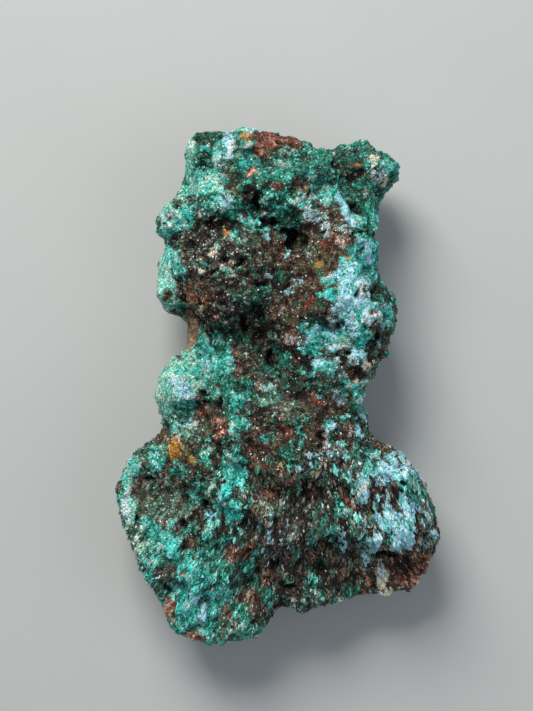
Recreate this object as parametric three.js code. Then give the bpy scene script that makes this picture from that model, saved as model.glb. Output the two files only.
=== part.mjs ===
// A rough malachite specimen, 50 mm long: one natural stone lying on its broken back.
// +Z is up, out of the crystal-covered face, and +Y runs along the stone towards its squarer end.
// Dimensions are millimetres. The origin is under the middle of the stone, on the surface it lies on.

import * as THREE from "three";
import { ImprovedNoise } from "three/addons/math/ImprovedNoise.js";

// Driving dimensions
const LENGTH = 50.2; // along Y, measured on the outline
const WIDTH = 31.4; // along X, across the flared foot
const DATUM = 1.8; // the plane that heights are measured from, over the surface the stone lies on
const GIRDLE = 5.0; // height at which the stone is widest
const GRID_HEIGHT = 20; // the sampled height, which clears the highest lump
const CELL = 1.03; // spacing of the sampling grid, which sets how fine the faces are
const FILL_DEPTH = 0.1; // how deep a filled pinch lies under the surface
const FLAT_BELOW = 0.35; // the worn spots of the back, lower than this, lie in one plane
const EDGE_BLEND = 1.8; // how softly the face turns over into the sides
const BACK_BLEND = 3.2; // how softly the sides turn under into the back
const LUMP_BLEND = 0.6; // how softly a lump grows out of the stone
const PIT_BLEND = 0.3; // pits have crisper rims than lumps
const SETTLING_STEPS = 3; // how often each vertex is moved towards the true surface
const SETTLED = 0.65; // how much of the way to the true surface it then goes
const PROBE = 0.05; // the step over which the surface's slope is taken
const MATERIAL = { color: 0x2f6f60, roughness: 0.7, metalness: 0.0 };

// The outline as seen from above, clockwise from the left corner of the squarer end.
const OUTLINE = [
  [-9.0, 24.0], [-7.4, 24.9], [-5.2, 25.0], [-4.2, 24.6], [-2.4, 25.1], [-0.3, 24.6],
  [1.3, 24.0], [3.2, 23.2], [5.4, 23.3], [7.8, 23.4], [9.6, 22.6], [11.2, 21.9],
  [11.6, 21.0], [11.3, 20.0], [10.3, 19.3], [9.6, 18.3], [9.6, 16.8], [9.1, 15.0],
  [9.5, 13.8], [9.3, 10.7], [10.5, 9.2], [11.3, 7.5], [11.1, 5.8], [10.5, 4.2],
  [9.3, 2.4], [8.4, 0.5], [8.1, -1.2], [8.5, -3.0], [9.1, -4.6], [10.3, -5.2],
  [12.1, -7.0], [13.5, -8.9], [14.4, -10.8], [15.3, -12.4], [15.7, -14.2], [15.0, -16.7],
  [14.3, -18.5], [12.9, -20.0], [11.0, -20.6], [8.6, -20.4], [6.4, -21.2], [4.4, -21.1],
  [2.0, -22.1], [0.3, -21.6], [-0.9, -23.0], [-2.6, -24.2], [-5.2, -25.0], [-7.6, -25.1],
  [-9.7, -24.4], [-11.1, -22.8], [-12.0, -20.1], [-13.7, -16.8], [-14.7, -14.4], [-15.4, -12.4],
  [-15.7, -9.4], [-14.6, -7.4], [-13.7, -5.9], [-12.2, -5.1], [-11.4, -3.2], [-11.9, -0.8],
  [-11.4, 1.2], [-10.0, 2.8], [-9.1, 3.9], [-9.2, 5.6], [-9.6, 6.9], [-10.8, 7.0],
  [-11.6, 8.6], [-11.8, 10.2], [-11.3, 12.2], [-10.9, 13.9], [-11.6, 14.9], [-11.8, 16.2],
  [-10.8, 17.8], [-9.4, 19.2], [-9.1, 21.2],
];

// The broad form of the upper face, as heights over the datum plane.
const FACE_HEIGHTS = [
  // squarer end, from left to right
  { at: [-7.8, 22.6], height: 8.6 },
  { at: [-4.8, 20.3], height: 11.6 },
  { at: [-0.8, 23.4], height: 8.2 },
  { at: [0.4, 19.8], height: 11.6 },
  { at: [5.7, 20.6], height: 11.2 },
  { at: [10.3, 20.4], height: 8.6 },
  { at: [-7.8, 17.0], height: 11.2 },
  { at: [-10.9, 15.7], height: 6.6 },
  // the dark block and the shoulder beside it
  { at: [-4.1, 10.4], height: 13.0 },
  { at: [-8.0, 10.5], height: 11.6 },
  { at: [-10.9, 9.7], height: 6.2 },
  { at: [0.7, 9.7], height: 11.6 },
  { at: [4.7, 13.1], height: 12.2 },
  { at: [6.8, 8.2], height: 12.2 },
  { at: [10.0, 7.3], height: 8.6 },
  // the waist
  { at: [2.3, 4.9], height: 11.8 },
  { at: [-0.8, 1.6], height: 10.5 },
  { at: [-5.0, 2.6], height: 11.4 },
  { at: [-9.0, 4.8], height: 6.0 },
  { at: [-9.5, -0.3], height: 7.6 },
  { at: [5.7, 0.3], height: 11.0 },
  { at: [0.1, -4.3], height: 11.6 },
  { at: [5.8, -3.4], height: 10.6 },
  // the flared foot
  { at: [-9.4, -5.7], height: 9.2 },
  { at: [-9.7, -11.7], height: 7.8 },
  { at: [-14.3, -10.0], height: 6.8 },
  { at: [-4.3, -7.6], height: 11.4 },
  { at: [-7.2, -16.3], height: 9.6 },
  { at: [-8.0, -22.0], height: 6.2 },
  { at: [-2.0, -20.2], height: 7.0 },
  { at: [1.1, -12.0], height: 10.6 },
  { at: [2.4, -18.8], height: 6.8 },
  { at: [8.3, -7.8], height: 10.4 },
  { at: [10.2, -11.9], height: 10.0 },
  { at: [13.9, -14.7], height: 6.6 },
  { at: [10.3, -19.3], height: 4.8 },
];
const FACE_REACH = 3.4; // how far each height above makes itself felt

// Rounded masses that stand out of the stone. A ridge runs from one end to the other.
const LUMPS = [
  { name: "dark block", from: [-5.4, 11.2, 9.6], to: [-3.1, 9.3, 9.8], radius: 4.3 },
  { name: "dark block, lower knob", from: [-5.8, 7.2, 10.4], to: [-4.5, 6.8, 10.4], radius: 2.0 },
  { name: "upper slab", from: [-6.4, 18.0, 9.8], to: [-2.4, 16.8, 10.2], radius: 2.3 },
  { name: "end bar, left", from: [-6.4, 22.0, 8.6], to: [-4.3, 22.2, 8.6], radius: 2.0 },
  { name: "end bar, middle", from: [0.5, 19.6, 9.6], to: [4.4, 19.9, 9.8], radius: 2.2 },
  { name: "end bar, right", from: [6.2, 20.4, 8.8], to: [9.4, 20.2, 7.4], radius: 2.0 },
  { name: "arm tip", from: [10.0, 20.4, 6.4], to: [10.3, 20.4, 6.0], radius: 1.5 },
  { name: "left lobe", from: [-10.1, 15.7, 5.8], to: [-9.9, 16.5, 5.6], radius: 1.9 },
  { name: "left crust, upper", from: [-10.2, 12.4, 5.6], to: [-10.0, 11.6, 5.6], radius: 1.5 },
  { name: "left crust, lower", from: [-10.4, 10.2, 5.4], to: [-10.2, 8.6, 5.2], radius: 1.7 },
  { name: "left ball", from: [-8.8, 0.0, 6.4], to: [-8.6, 0.4, 6.4], radius: 3.2 },
  { name: "shoulder knob", from: [-0.2, 16.8, 10.2], to: [0.3, 16.5, 10.2], radius: 1.7 },
  { name: "shoulder", from: [4.2, 15.1, 9.4], to: [5.1, 10.7, 9.8], radius: 3.0 },
  { name: "blue ridge", from: [6.1, 9.5, 9.8], to: [7.1, 4.5, 9.4], radius: 3.1 },
  { name: "right knob", from: [9.8, 8.1, 6.4], to: [9.7, 5.6, 6.2], radius: 1.6 },
  { name: "middle swell", from: [2.3, 6.7, 9.4], to: [3.0, 4.5, 9.2], radius: 2.4 },
  { name: "waist ridge", from: [-5.4, 2.0, 9.4], to: [-4.3, -3.2, 9.8], radius: 2.0 },
  { name: "diagonal ridge, upper", from: [-4.3, -4.3, 10.2], to: [-4.9, -9.1, 9.9], radius: 1.7 },
  { name: "diagonal ridge, middle", from: [-5.1, -9.9, 9.8], to: [-7.2, -14.9, 8.6], radius: 1.6 },
  { name: "diagonal ridge, lower", from: [-7.4, -16.1, 7.8], to: [-8.6, -21.6, 5.6], radius: 1.8 },
  { name: "lower middle", from: [-0.6, -3.4, 9.2], to: [2.1, -9.2, 8.6], radius: 3.0 },
  { name: "left rim of the basin", from: [-13.7, -8.2, 5.6], to: [-13.7, -13.6, 5.2], radius: 1.7 },
  { name: "top rim of the basin", from: [-12.2, -6.6, 6.6], to: [-8.2, -6.2, 8.2], radius: 1.7 },
  { name: "low rim of the basin", from: [-12.5, -15.8, 5.8], to: [-9.4, -17.2, 7.0], radius: 1.6 },
  { name: "blue dome", from: [9.3, -9.1, 7.2], to: [10.5, -13.2, 6.6], radius: 3.6 },
  { name: "right flank", from: [13.2, -13.2, 4.6], to: [13.0, -15.2, 4.4], radius: 2.0 },
  { name: "foot, left", from: [-4.4, -18.3, 5.6], to: [-3.8, -21.8, 4.6], radius: 2.4 },
  { name: "foot, middle", from: [2.3, -15.1, 6.2], to: [2.8, -19.2, 4.4], radius: 2.4 },
  { name: "brown lip", from: [9.0, -19.2, 3.4], to: [12.4, -18.6, 3.4], radius: 1.5 },
];

// Hollows that are cut back into the stone, with the same two-ended form.
const PITS = [
  { name: "slot under the end bar", from: [-2.3, 18.5, 12.2], to: [-1.9, 17.4, 11.6], radius: 1.0 },
  { name: "deep vug, mouth", from: [-1.0, 15.5, 11.9], to: [0.5, 15.4, 11.3], radius: 0.9 },
  { name: "deep vug, throat", from: [0.6, 14.7, 11.4], to: [1.3, 13.4, 9.6], radius: 1.0 },
  { name: "gap under the arm", from: [5.7, 18.0, 12.2], to: [7.1, 17.9, 11.2], radius: 0.9 },
  { name: "vug in the arm", from: [7.4, 19.5, 11.4], to: [8.2, 19.5, 11.0], radius: 0.8 },
  { name: "trough below the block", from: [-2.2, 6.2, 12.2], to: [-1.0, 4.7, 11.4], radius: 1.2 },
  { name: "dark vug", from: [-1.8, 4.4, 11.2], to: [-0.9, 2.7, 10.4], radius: 1.0 },
  { name: "ledge under the ridge", from: [1.3, 2.2, 12.0], to: [5.5, 2.5, 12.2], radius: 0.9 },
  { name: "cleft in the right edge", from: [9.4, 2.4, 8.4], to: [9.1, 4.6, 9.6], radius: 0.8 },
  { name: "brown break in the left side", from: [-10.5, 5.0, 7.2], to: [-10.0, 4.9, 9.4], radius: 1.8 },
  { name: "basin", from: [-10.7, -10.7, 10.4], to: [-8.1, -11.8, 11.2], radius: 3.0 },
  { name: "foot of the basin", from: [-8.4, -14.1, 9.6], to: [-7.7, -13.1, 9.8], radius: 1.0 },
  { name: "gully beside the ridge", from: [-3.3, -11.6, 11.4], to: [-2.9, -13.6, 10.4], radius: 0.9 },
  { name: "notch under the dome", from: [6.1, -16.1, 7.6], to: [11.6, -17.0, 6.6], radius: 1.2 },
  { name: "gully in the foot", from: [0.2, -19.1, 8.4], to: [-0.6, -23.4, 6.6], radius: 1.1 },
  // shell-shaped breaks in the sides and the back
  { name: "break under the right knob", from: [13.4, 0.4, 1.0], to: [12.6, -2.4, 2.6], radius: 4.4 },
  { name: "break under the left ball", from: [-15.0, 5.0, 0.6], to: [-14.6, 2.6, 1.0], radius: 4.9 },
  { name: "break in the end", from: [0.6, 30.4, 3.0], to: [7.0, 29.6, 2.0], radius: 6.4 },
  { name: "hollow in the back, end", from: [-3.6, 19.4, -9.4], to: [1.6, 17.0, -9.8], radius: 9.2 },
  { name: "hollow in the back, waist", from: [1.0, 5.6, -10.2], to: [-2.6, 0.6, -10.6], radius: 9.6 },
  { name: "hollow in the back, foot", from: [-5.4, -14.8, -9.6], to: [5.0, -13.2, -9.8], radius: 9.0 },
];

// Roughness that is laid over the whole stone, coarse to fine.
const SWELLS = [
  { size: 5.2, depth: 0.7 },
  { size: 2.1, depth: 0.4 },
];
// Grape-like knobs with creases between them, the habit in which malachite grows.
const KNOBS = [
  { size: 4.6, depth: 1.9 },
  { size: 2.7, depth: 1.35 },
];
const KNOB_LEVEL = 0.43; // how far from a knob's centre, in knob sizes, it adds nothing
const RIM = { height: 2.1, depth: 2.0, calm: 0.85 }; // near the outline the roughness is held back
// The broken back, and the spots on it that are worn flat, on which the stone lies.
const BACK_RELIEF = { size: 5.5, depth: 2.4, sunk: 0.9 };
const WEAR = 3.4; // how far the middle of each worn spot is brought down
const WORN_SPOTS = [
  { at: [-5.9, 12.6], reach: 4.0 },
  { at: [5.4, 12.8], reach: 4.6 },
  { at: [-9.9, -9.2], reach: 4.0 },
  { at: [8.4, -11.2], reach: 4.6 },
  { at: [-4.6, -18.2], reach: 3.4 },
];
const UNDERCUT = 0.06; // how fast the sides draw in below the girdle
const OVERCUT = 0.03; // and above it

const perlin = new ImprovedNoise();

// Signed distance from a point to a closed polygon in the XY plane, negative inside.
function distanceToPolygon(x, y, corners) {
  let nearest = Infinity;
  let inside = false;
  for (let i = 0, j = corners.length - 1; i < corners.length; j = i++) {
    const a = corners[i];
    const b = corners[j];
    const edgeX = b.x - a.x;
    const edgeY = b.y - a.y;
    const along = ((x - a.x) * edgeX + (y - a.y) * edgeY) / (edgeX * edgeX + edgeY * edgeY);
    const t = THREE.MathUtils.clamp(along, 0, 1);
    nearest = Math.min(nearest, Math.hypot(x - a.x - edgeX * t, y - a.y - edgeY * t));
    if (a.y > y !== b.y > y && x < a.x + (edgeX * (y - a.y)) / edgeY) inside = !inside;
  }
  return inside ? -nearest : nearest;
}

// Distance from a point to a round-ended bar.
function distanceToBar(point, bar) {
  const closest = bar.line.closestPointToPoint(point, true, new THREE.Vector3());
  return closest.distanceTo(point) - bar.radius;
}

// Three numbers from 0 to 1 that depend on a grid cell alone, so the stone is the same each time.
function scatter(i, j, k) {
  return [12.9898, 39.3467, 73.1563].map((factor) => {
    const wave = Math.sin(i * 127.1 + j * 311.7 + k * 74.7 + factor) * 43758.5453;
    return wave - Math.floor(wave);
  });
}

// Distance to the nearest of a set of scattered points, one in each unit cell.
function knobDistance(x, y, z) {
  let nearest = Infinity;
  for (let k = Math.floor(z) - 1; k <= Math.floor(z) + 1; k++) {
    for (let j = Math.floor(y) - 1; j <= Math.floor(y) + 1; j++) {
      for (let i = Math.floor(x) - 1; i <= Math.floor(x) + 1; i++) {
        const [u, v, w] = scatter(i, j, k);
        nearest = Math.min(nearest, Math.hypot(i + u - x, j + v - y, k + w - z));
      }
    }
  }
  return nearest;
}

// Joins two distances with a rounded crease of the given width.
function smoothMin(a, b, blend) {
  const mix = Math.max(blend - Math.abs(a - b), 0) / blend;
  return Math.min(a, b) - (mix * mix * blend) / 4;
}

function smoothMax(a, b, blend) {
  return -smoothMin(-a, -b, blend);
}

// The broad height of the upper face at a place, blended from the heights round it.
function faceHeight(x, y) {
  let total = 0;
  let weights = 0;
  for (const { at, height } of FACE_HEIGHTS) {
    const away = Math.hypot(x - at[0], y - at[1]) / FACE_REACH;
    const weight = Math.exp(-away * away) + 1e-4 / (1 + away);
    total += weight * height;
    weights += weight;
  }
  return total / weights;
}

// The height of the broken back over the datum. Where it would be lower than the surface that
// the stone lies on, it is worn flat.
function backHeight(x, y) {
  const { size, depth, sunk } = BACK_RELIEF;
  let height = depth * perlin.noise(x / size, y / size, 7.3) - sunk;
  for (const { at, reach } of WORN_SPOTS) {
    const away = Math.hypot(x - at[0], y - at[1]) / reach;
    height -= WEAR * Math.exp(-away * away);
  }
  return height;
}

function withLine(bar) {
  const line = new THREE.Line3(new THREE.Vector3(...bar.from), new THREE.Vector3(...bar.to));
  return { ...bar, line };
}

// What depends on a place alone and not on the height there.
function columnAt(x, y, corners) {
  return {
    x,
    y,
    outline: distanceToPolygon(x, y, corners),
    face: faceHeight(x, y),
    back: backHeight(x, y),
  };
}

// Returns the function that tells how far outside the stone a point lies, negative inside.
function stoneField() {
  const corners = new THREE.SplineCurve(
    [...OUTLINE, OUTLINE[0]].map(([x, y]) => new THREE.Vector2(x, y)),
  ).getPoints(OUTLINE.length * 3);
  corners.pop();
  const lumps = LUMPS.map(withLine);
  const pits = PITS.map(withLine);
  let column = {};

  return (point) => {
    const { x, y, z } = point;
    if (column.x !== x || column.y !== y) column = columnAt(x, y, corners);
    const fromGirdle = z - GIRDLE;
    const drawIn = (fromGirdle < 0 ? UNDERCUT : OVERCUT) * fromGirdle * fromGirdle;
    const side = column.outline + drawIn;
    let outside = smoothMax(side, z - column.face, EDGE_BLEND);
    for (const lump of lumps) {
      const mass = smoothMax(distanceToBar(point, lump), side, LUMP_BLEND);
      outside = smoothMin(outside, mass, LUMP_BLEND);
    }
    for (const pit of pits) outside = smoothMax(outside, -distanceToBar(point, pit), PIT_BLEND);
    const fromRim = Math.hypot(fromGirdle / RIM.height, column.outline / RIM.depth);
    const rough = 1 - RIM.calm * Math.exp(-fromRim * fromRim);
    for (const { size, depth } of SWELLS) {
      outside += rough * depth * perlin.noise(x / size + 3.1, y / size + 1.7, z / size + 5.9);
    }
    for (const { size, depth } of KNOBS) {
      outside += rough * depth * (knobDistance(x / size, y / size, z / size) - KNOB_LEVEL);
    }
    outside = smoothMax(outside, column.back - z, BACK_BLEND);
    return Math.max(outside, -DATUM - z);
  };
}

// Samples the field on a regular grid that reaches past the stone on every side.
function sampleGrid(field) {
  const low = new THREE.Vector3(
    -WIDTH / 2 - 2 * CELL,
    -LENGTH / 2 - 2 * CELL,
    -DATUM - 1.5 * CELL,
  );
  const spans = [WIDTH + 5 * CELL, LENGTH + 5 * CELL, GRID_HEIGHT];
  const counts = spans.map((span) => Math.ceil(span / CELL));
  const [nx, ny, nz] = counts;
  const values = new Float64Array(nx * ny * nz);
  const point = new THREE.Vector3();
  const indexOf = (i, j, k) => i + nx * (j + ny * k);
  for (let j = 0; j < ny; j++) {
    for (let i = 0; i < nx; i++) {
      for (let k = 0; k < nz; k++) {
        point.set(i, j, k).multiplyScalar(CELL).add(low);
        values[indexOf(i, j, k)] = field(point);
      }
    }
  }
  return { low, counts, values, indexOf };
}

// The eight corners of a grid cell, and the twelve edges that join them.
const CELL_CORNERS = [0, 1, 2, 3, 4, 5, 6, 7].map((c) => [c & 1, (c >> 1) & 1, c >> 2]);
const CELL_EDGES = CELL_CORNERS.flatMap((_, a) =>
  [1, 2, 4].filter((bit) => !(a & bit)).map((bit) => [a, a | bit]),
);

// True if the chosen corners of a cell form one group that is joined by the cell's edges.
function isOneGroup(chosen) {
  const group = new Set(chosen.slice(0, 1));
  for (let pass = 0; pass < CELL_CORNERS.length; pass++) {
    for (const [a, b] of CELL_EDGES) {
      if (chosen.includes(a) && chosen.includes(b) && (group.has(a) || group.has(b))) {
        group.add(a).add(b);
      }
    }
  }
  return group.size === chosen.length;
}

// For each of the 256 ways a cell's corners can lie inside or outside: does one sheet cross it?
const ONE_SHEET = Array.from({ length: 256 }, (_, mask) => {
  const corners = CELL_CORNERS.map((_, c) => c);
  const [inside, outside] = [1, 0].map((bit) => corners.filter((c) => ((mask >> c) & 1) === bit));
  return isOneGroup(inside) && isOneGroup(outside);
});

// Fills cells where two sheets of the surface would touch, so that the mesh closes cleanly.
function fillPinches({ counts, values, indexOf }) {
  for (let changed = true; changed; ) {
    changed = false;
    for (let k = 0; k < counts[2] - 1; k++) {
      for (let j = 0; j < counts[1] - 1; j++) {
        for (let i = 0; i < counts[0] - 1; i++) {
          const nodes = CELL_CORNERS.map(([x, y, z]) => indexOf(i + x, j + y, k + z));
          const mask = nodes.reduce((bits, n, c) => bits | ((values[n] < 0 ? 1 : 0) << c), 0);
          if (ONE_SHEET[mask]) continue;
          const open = nodes.filter((n) => values[n] >= 0);
          const nearest = open.reduce((best, n) => (values[n] < values[best] ? n : best));
          values[nearest] = -FILL_DEPTH;
          changed = true;
        }
      }
    }
  }
}

// Moves a point along the slope of the field towards the surface, without leaving its cell.
function settle(point, cell, field) {
  const settled = point.clone();
  const slope = new THREE.Vector3();
  for (let step = 0; step < SETTLING_STEPS; step++) {
    const here = field(settled);
    for (const axis of ["x", "y", "z"]) {
      const beside = settled.clone();
      beside[axis] += PROBE;
      slope[axis] = (field(beside) - here) / PROBE;
    }
    settled.addScaledVector(slope, -here / Math.max(slope.lengthSq(), 0.5));
    settled.clamp(cell.min, cell.max);
  }
  point.lerp(settled, SETTLED);
}

// One vertex for each cell that the surface crosses, from the middle of its crossings.
function placeVertices(grid, field) {
  const { low, counts, values, indexOf } = grid;
  const positions = [];
  const vertexOf = new Map();
  for (let k = 0; k < counts[2] - 1; k++) {
    for (let j = 0; j < counts[1] - 1; j++) {
      for (let i = 0; i < counts[0] - 1; i++) {
        const corner = CELL_CORNERS.map(([x, y, z]) => values[indexOf(i + x, j + y, k + z)]);
        const middle = new THREE.Vector3();
        let crossings = 0;
        for (const [a, b] of CELL_EDGES) {
          if (corner[a] < 0 === corner[b] < 0) continue;
          const t = corner[a] / (corner[a] - corner[b]);
          const start = new THREE.Vector3(...CELL_CORNERS[a]);
          middle.add(start.lerp(new THREE.Vector3(...CELL_CORNERS[b]), t));
          crossings++;
        }
        if (!crossings) continue;
        const cornerPoint = new THREE.Vector3(i, j, k).multiplyScalar(CELL).add(low);
        middle.divideScalar(crossings).multiplyScalar(CELL).add(cornerPoint);
        const cell = new THREE.Box3(cornerPoint, cornerPoint.clone().addScalar(CELL));
        settle(middle, cell, field);
        if (middle.z < FLAT_BELOW - DATUM) middle.z = -DATUM;
        vertexOf.set(indexOf(i, j, k), positions.length / 3);
        positions.push(middle.x, middle.y, middle.z);
      }
    }
  }
  return { positions, vertexOf };
}

// Two triangles round each grid edge that the surface crosses, facing out of the stone.
function stitchFaces(grid, { positions, vertexOf }) {
  const { counts, values, indexOf } = grid;
  const steps = [indexOf(1, 0, 0), indexOf(0, 1, 0), indexOf(0, 0, 1)];
  const vertex = (n) => new THREE.Vector3().fromArray(positions, 3 * n);
  const faces = [];
  for (let k = 1; k < counts[2] - 1; k++) {
    for (let j = 1; j < counts[1] - 1; j++) {
      for (let i = 1; i < counts[0] - 1; i++) {
        const here = indexOf(i, j, k);
        for (let axis = 0; axis < 3; axis++) {
          const inside = values[here] < 0;
          if (inside === values[here + steps[axis]] < 0) continue;
          const u = steps[(axis + 1) % 3];
          const v = steps[(axis + 2) % 3];
          const ring = [here - u - v, here - v, here, here - u].map((cell) => vertexOf.get(cell));
          if (!inside) ring.reverse();
          const [a, b, c, d] = ring;
          const shortDiagonal =
            vertex(a).distanceTo(vertex(c)) <= vertex(b).distanceTo(vertex(d));
          faces.push(...(shortDiagonal ? [a, b, c, a, c, d] : [a, b, d, b, c, d]));
        }
      }
    }
  }
  return faces;
}

// The stone as one closed mesh, centred over the origin.
function makeStone() {
  const field = stoneField();
  const grid = sampleGrid(field);
  fillPinches(grid);
  const vertices = placeVertices(grid, field);
  const geometry = new THREE.BufferGeometry();
  geometry.setAttribute("position", new THREE.Float32BufferAttribute(vertices.positions, 3));
  geometry.setIndex(stitchFaces(grid, vertices));
  geometry.computeBoundingBox();
  const centre = geometry.boundingBox.getCenter(new THREE.Vector3());
  geometry.translate(-centre.x, -centre.y, DATUM);
  geometry.computeVertexNormals();
  const stone = new THREE.Mesh(geometry, new THREE.MeshStandardMaterial(MATERIAL));
  stone.name = "malachite_stone";
  return stone;
}

const specimen = new THREE.Group();
specimen.add(makeStone());

export default specimen;
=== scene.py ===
"""A rough malachite specimen, 50 mm long, lying on its broken back and seen from above.

The stone is grown in three steps, as the real one was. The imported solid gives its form. A finer
relief of knobs, creases and pits is laid over it. Then crystals, beads and grains of each mineral
are set all over the surface, where the patches of growth say that mineral lies.
"""

import logging
import math
from dataclasses import dataclass, field
from enum import Enum

import bpy
import numpy as np
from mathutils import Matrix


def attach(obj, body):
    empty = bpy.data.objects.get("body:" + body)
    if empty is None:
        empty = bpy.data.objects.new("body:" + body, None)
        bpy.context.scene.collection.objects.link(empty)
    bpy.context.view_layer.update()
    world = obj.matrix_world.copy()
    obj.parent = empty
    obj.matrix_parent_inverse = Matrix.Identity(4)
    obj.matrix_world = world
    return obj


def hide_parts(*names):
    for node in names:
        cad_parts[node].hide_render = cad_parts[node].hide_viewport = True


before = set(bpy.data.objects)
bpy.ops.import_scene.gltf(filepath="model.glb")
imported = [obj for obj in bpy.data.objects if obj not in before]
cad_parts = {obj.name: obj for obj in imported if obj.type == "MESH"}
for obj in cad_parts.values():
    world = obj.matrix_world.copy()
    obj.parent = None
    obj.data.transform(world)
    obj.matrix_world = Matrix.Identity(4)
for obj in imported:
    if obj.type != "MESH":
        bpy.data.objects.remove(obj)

MM = 0.001
SEED = 20260
log = logging.getLogger("malachite_specimen")


def linear(code: str) -> tuple[float, float, float]:
    """Turns an sRGB hex value into linear red, green and blue.

    Args:
        code: six hex digits with a leading hash.

    Returns:
        The three linear values.
    """
    parts = [int(code[i : i + 2], 16) / 255 for i in (1, 3, 5)]
    return tuple(c / 12.92 if c <= 0.04045 else ((c + 0.055) / 1.055) ** 2.4 for c in parts)


class Mineral(Enum):
    """The minerals, from those that lie in the hollows to those that crown the tops.

    Each has the tints it shows, from its darkest to its lightest.
    """

    GOETHITE = ("#080706", "#14100d", "#231b17", "#372c26")
    LIMONITE = ("#291e17", "#443428", "#5f4a39", "#826953")
    RUST = ("#4a2319", "#703828", "#96503a", "#b9745a")
    BRICK_HEMATITE = ("#43231b", "#66392e", "#885145", "#b08070")
    GREY_LIMONITE = ("#2f2a26", "#524a45", "#7a716a", "#ada59d")
    OLIVE_CLAY = ("#38351f", "#5a5437", "#7b7350", "#9c9672")
    OCHRE = ("#6d4517", "#98661f", "#c08732", "#dba959")
    TAN_JASPER = ("#6b5847", "#81705b", "#8f7c66", "#a08d76")
    SALMON_CLAY = ("#8c5946", "#b87b64", "#d79d85", "#ecc5b2")
    DEEP_MALACHITE = ("#02130f", "#052b22", "#094839", "#146953")
    MALACHITE = ("#043027", "#0b5242", "#1b7860", "#499f85")
    SILKY_MALACHITE = ("#023a31", "#046959", "#0e9a85", "#40c6af")
    TURQUOISE_CRUST = ("#0a6f68", "#1ca69c", "#45cdc4", "#92e8e2")
    VIVID_CRUST = ("#027d76", "#0ab3a9", "#30d7cd", "#7df1e8")
    MINT_CRUST = ("#3f7b69", "#64a590", "#8fc5b3", "#bfe3d6")
    CREAM_CALCITE = ("#a3957a", "#cabd9d", "#e6dcc5", "#f6f0e4")
    CHRYSOCOLLA = ("#56a9c4", "#80c6de", "#a5dbee", "#c9eaf4")
    QUARTZ_DRUSE = ("#808d8a", "#adb8b4", "#d2dad6", "#f1f4f2")


MINERALS = list(Mineral)


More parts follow.
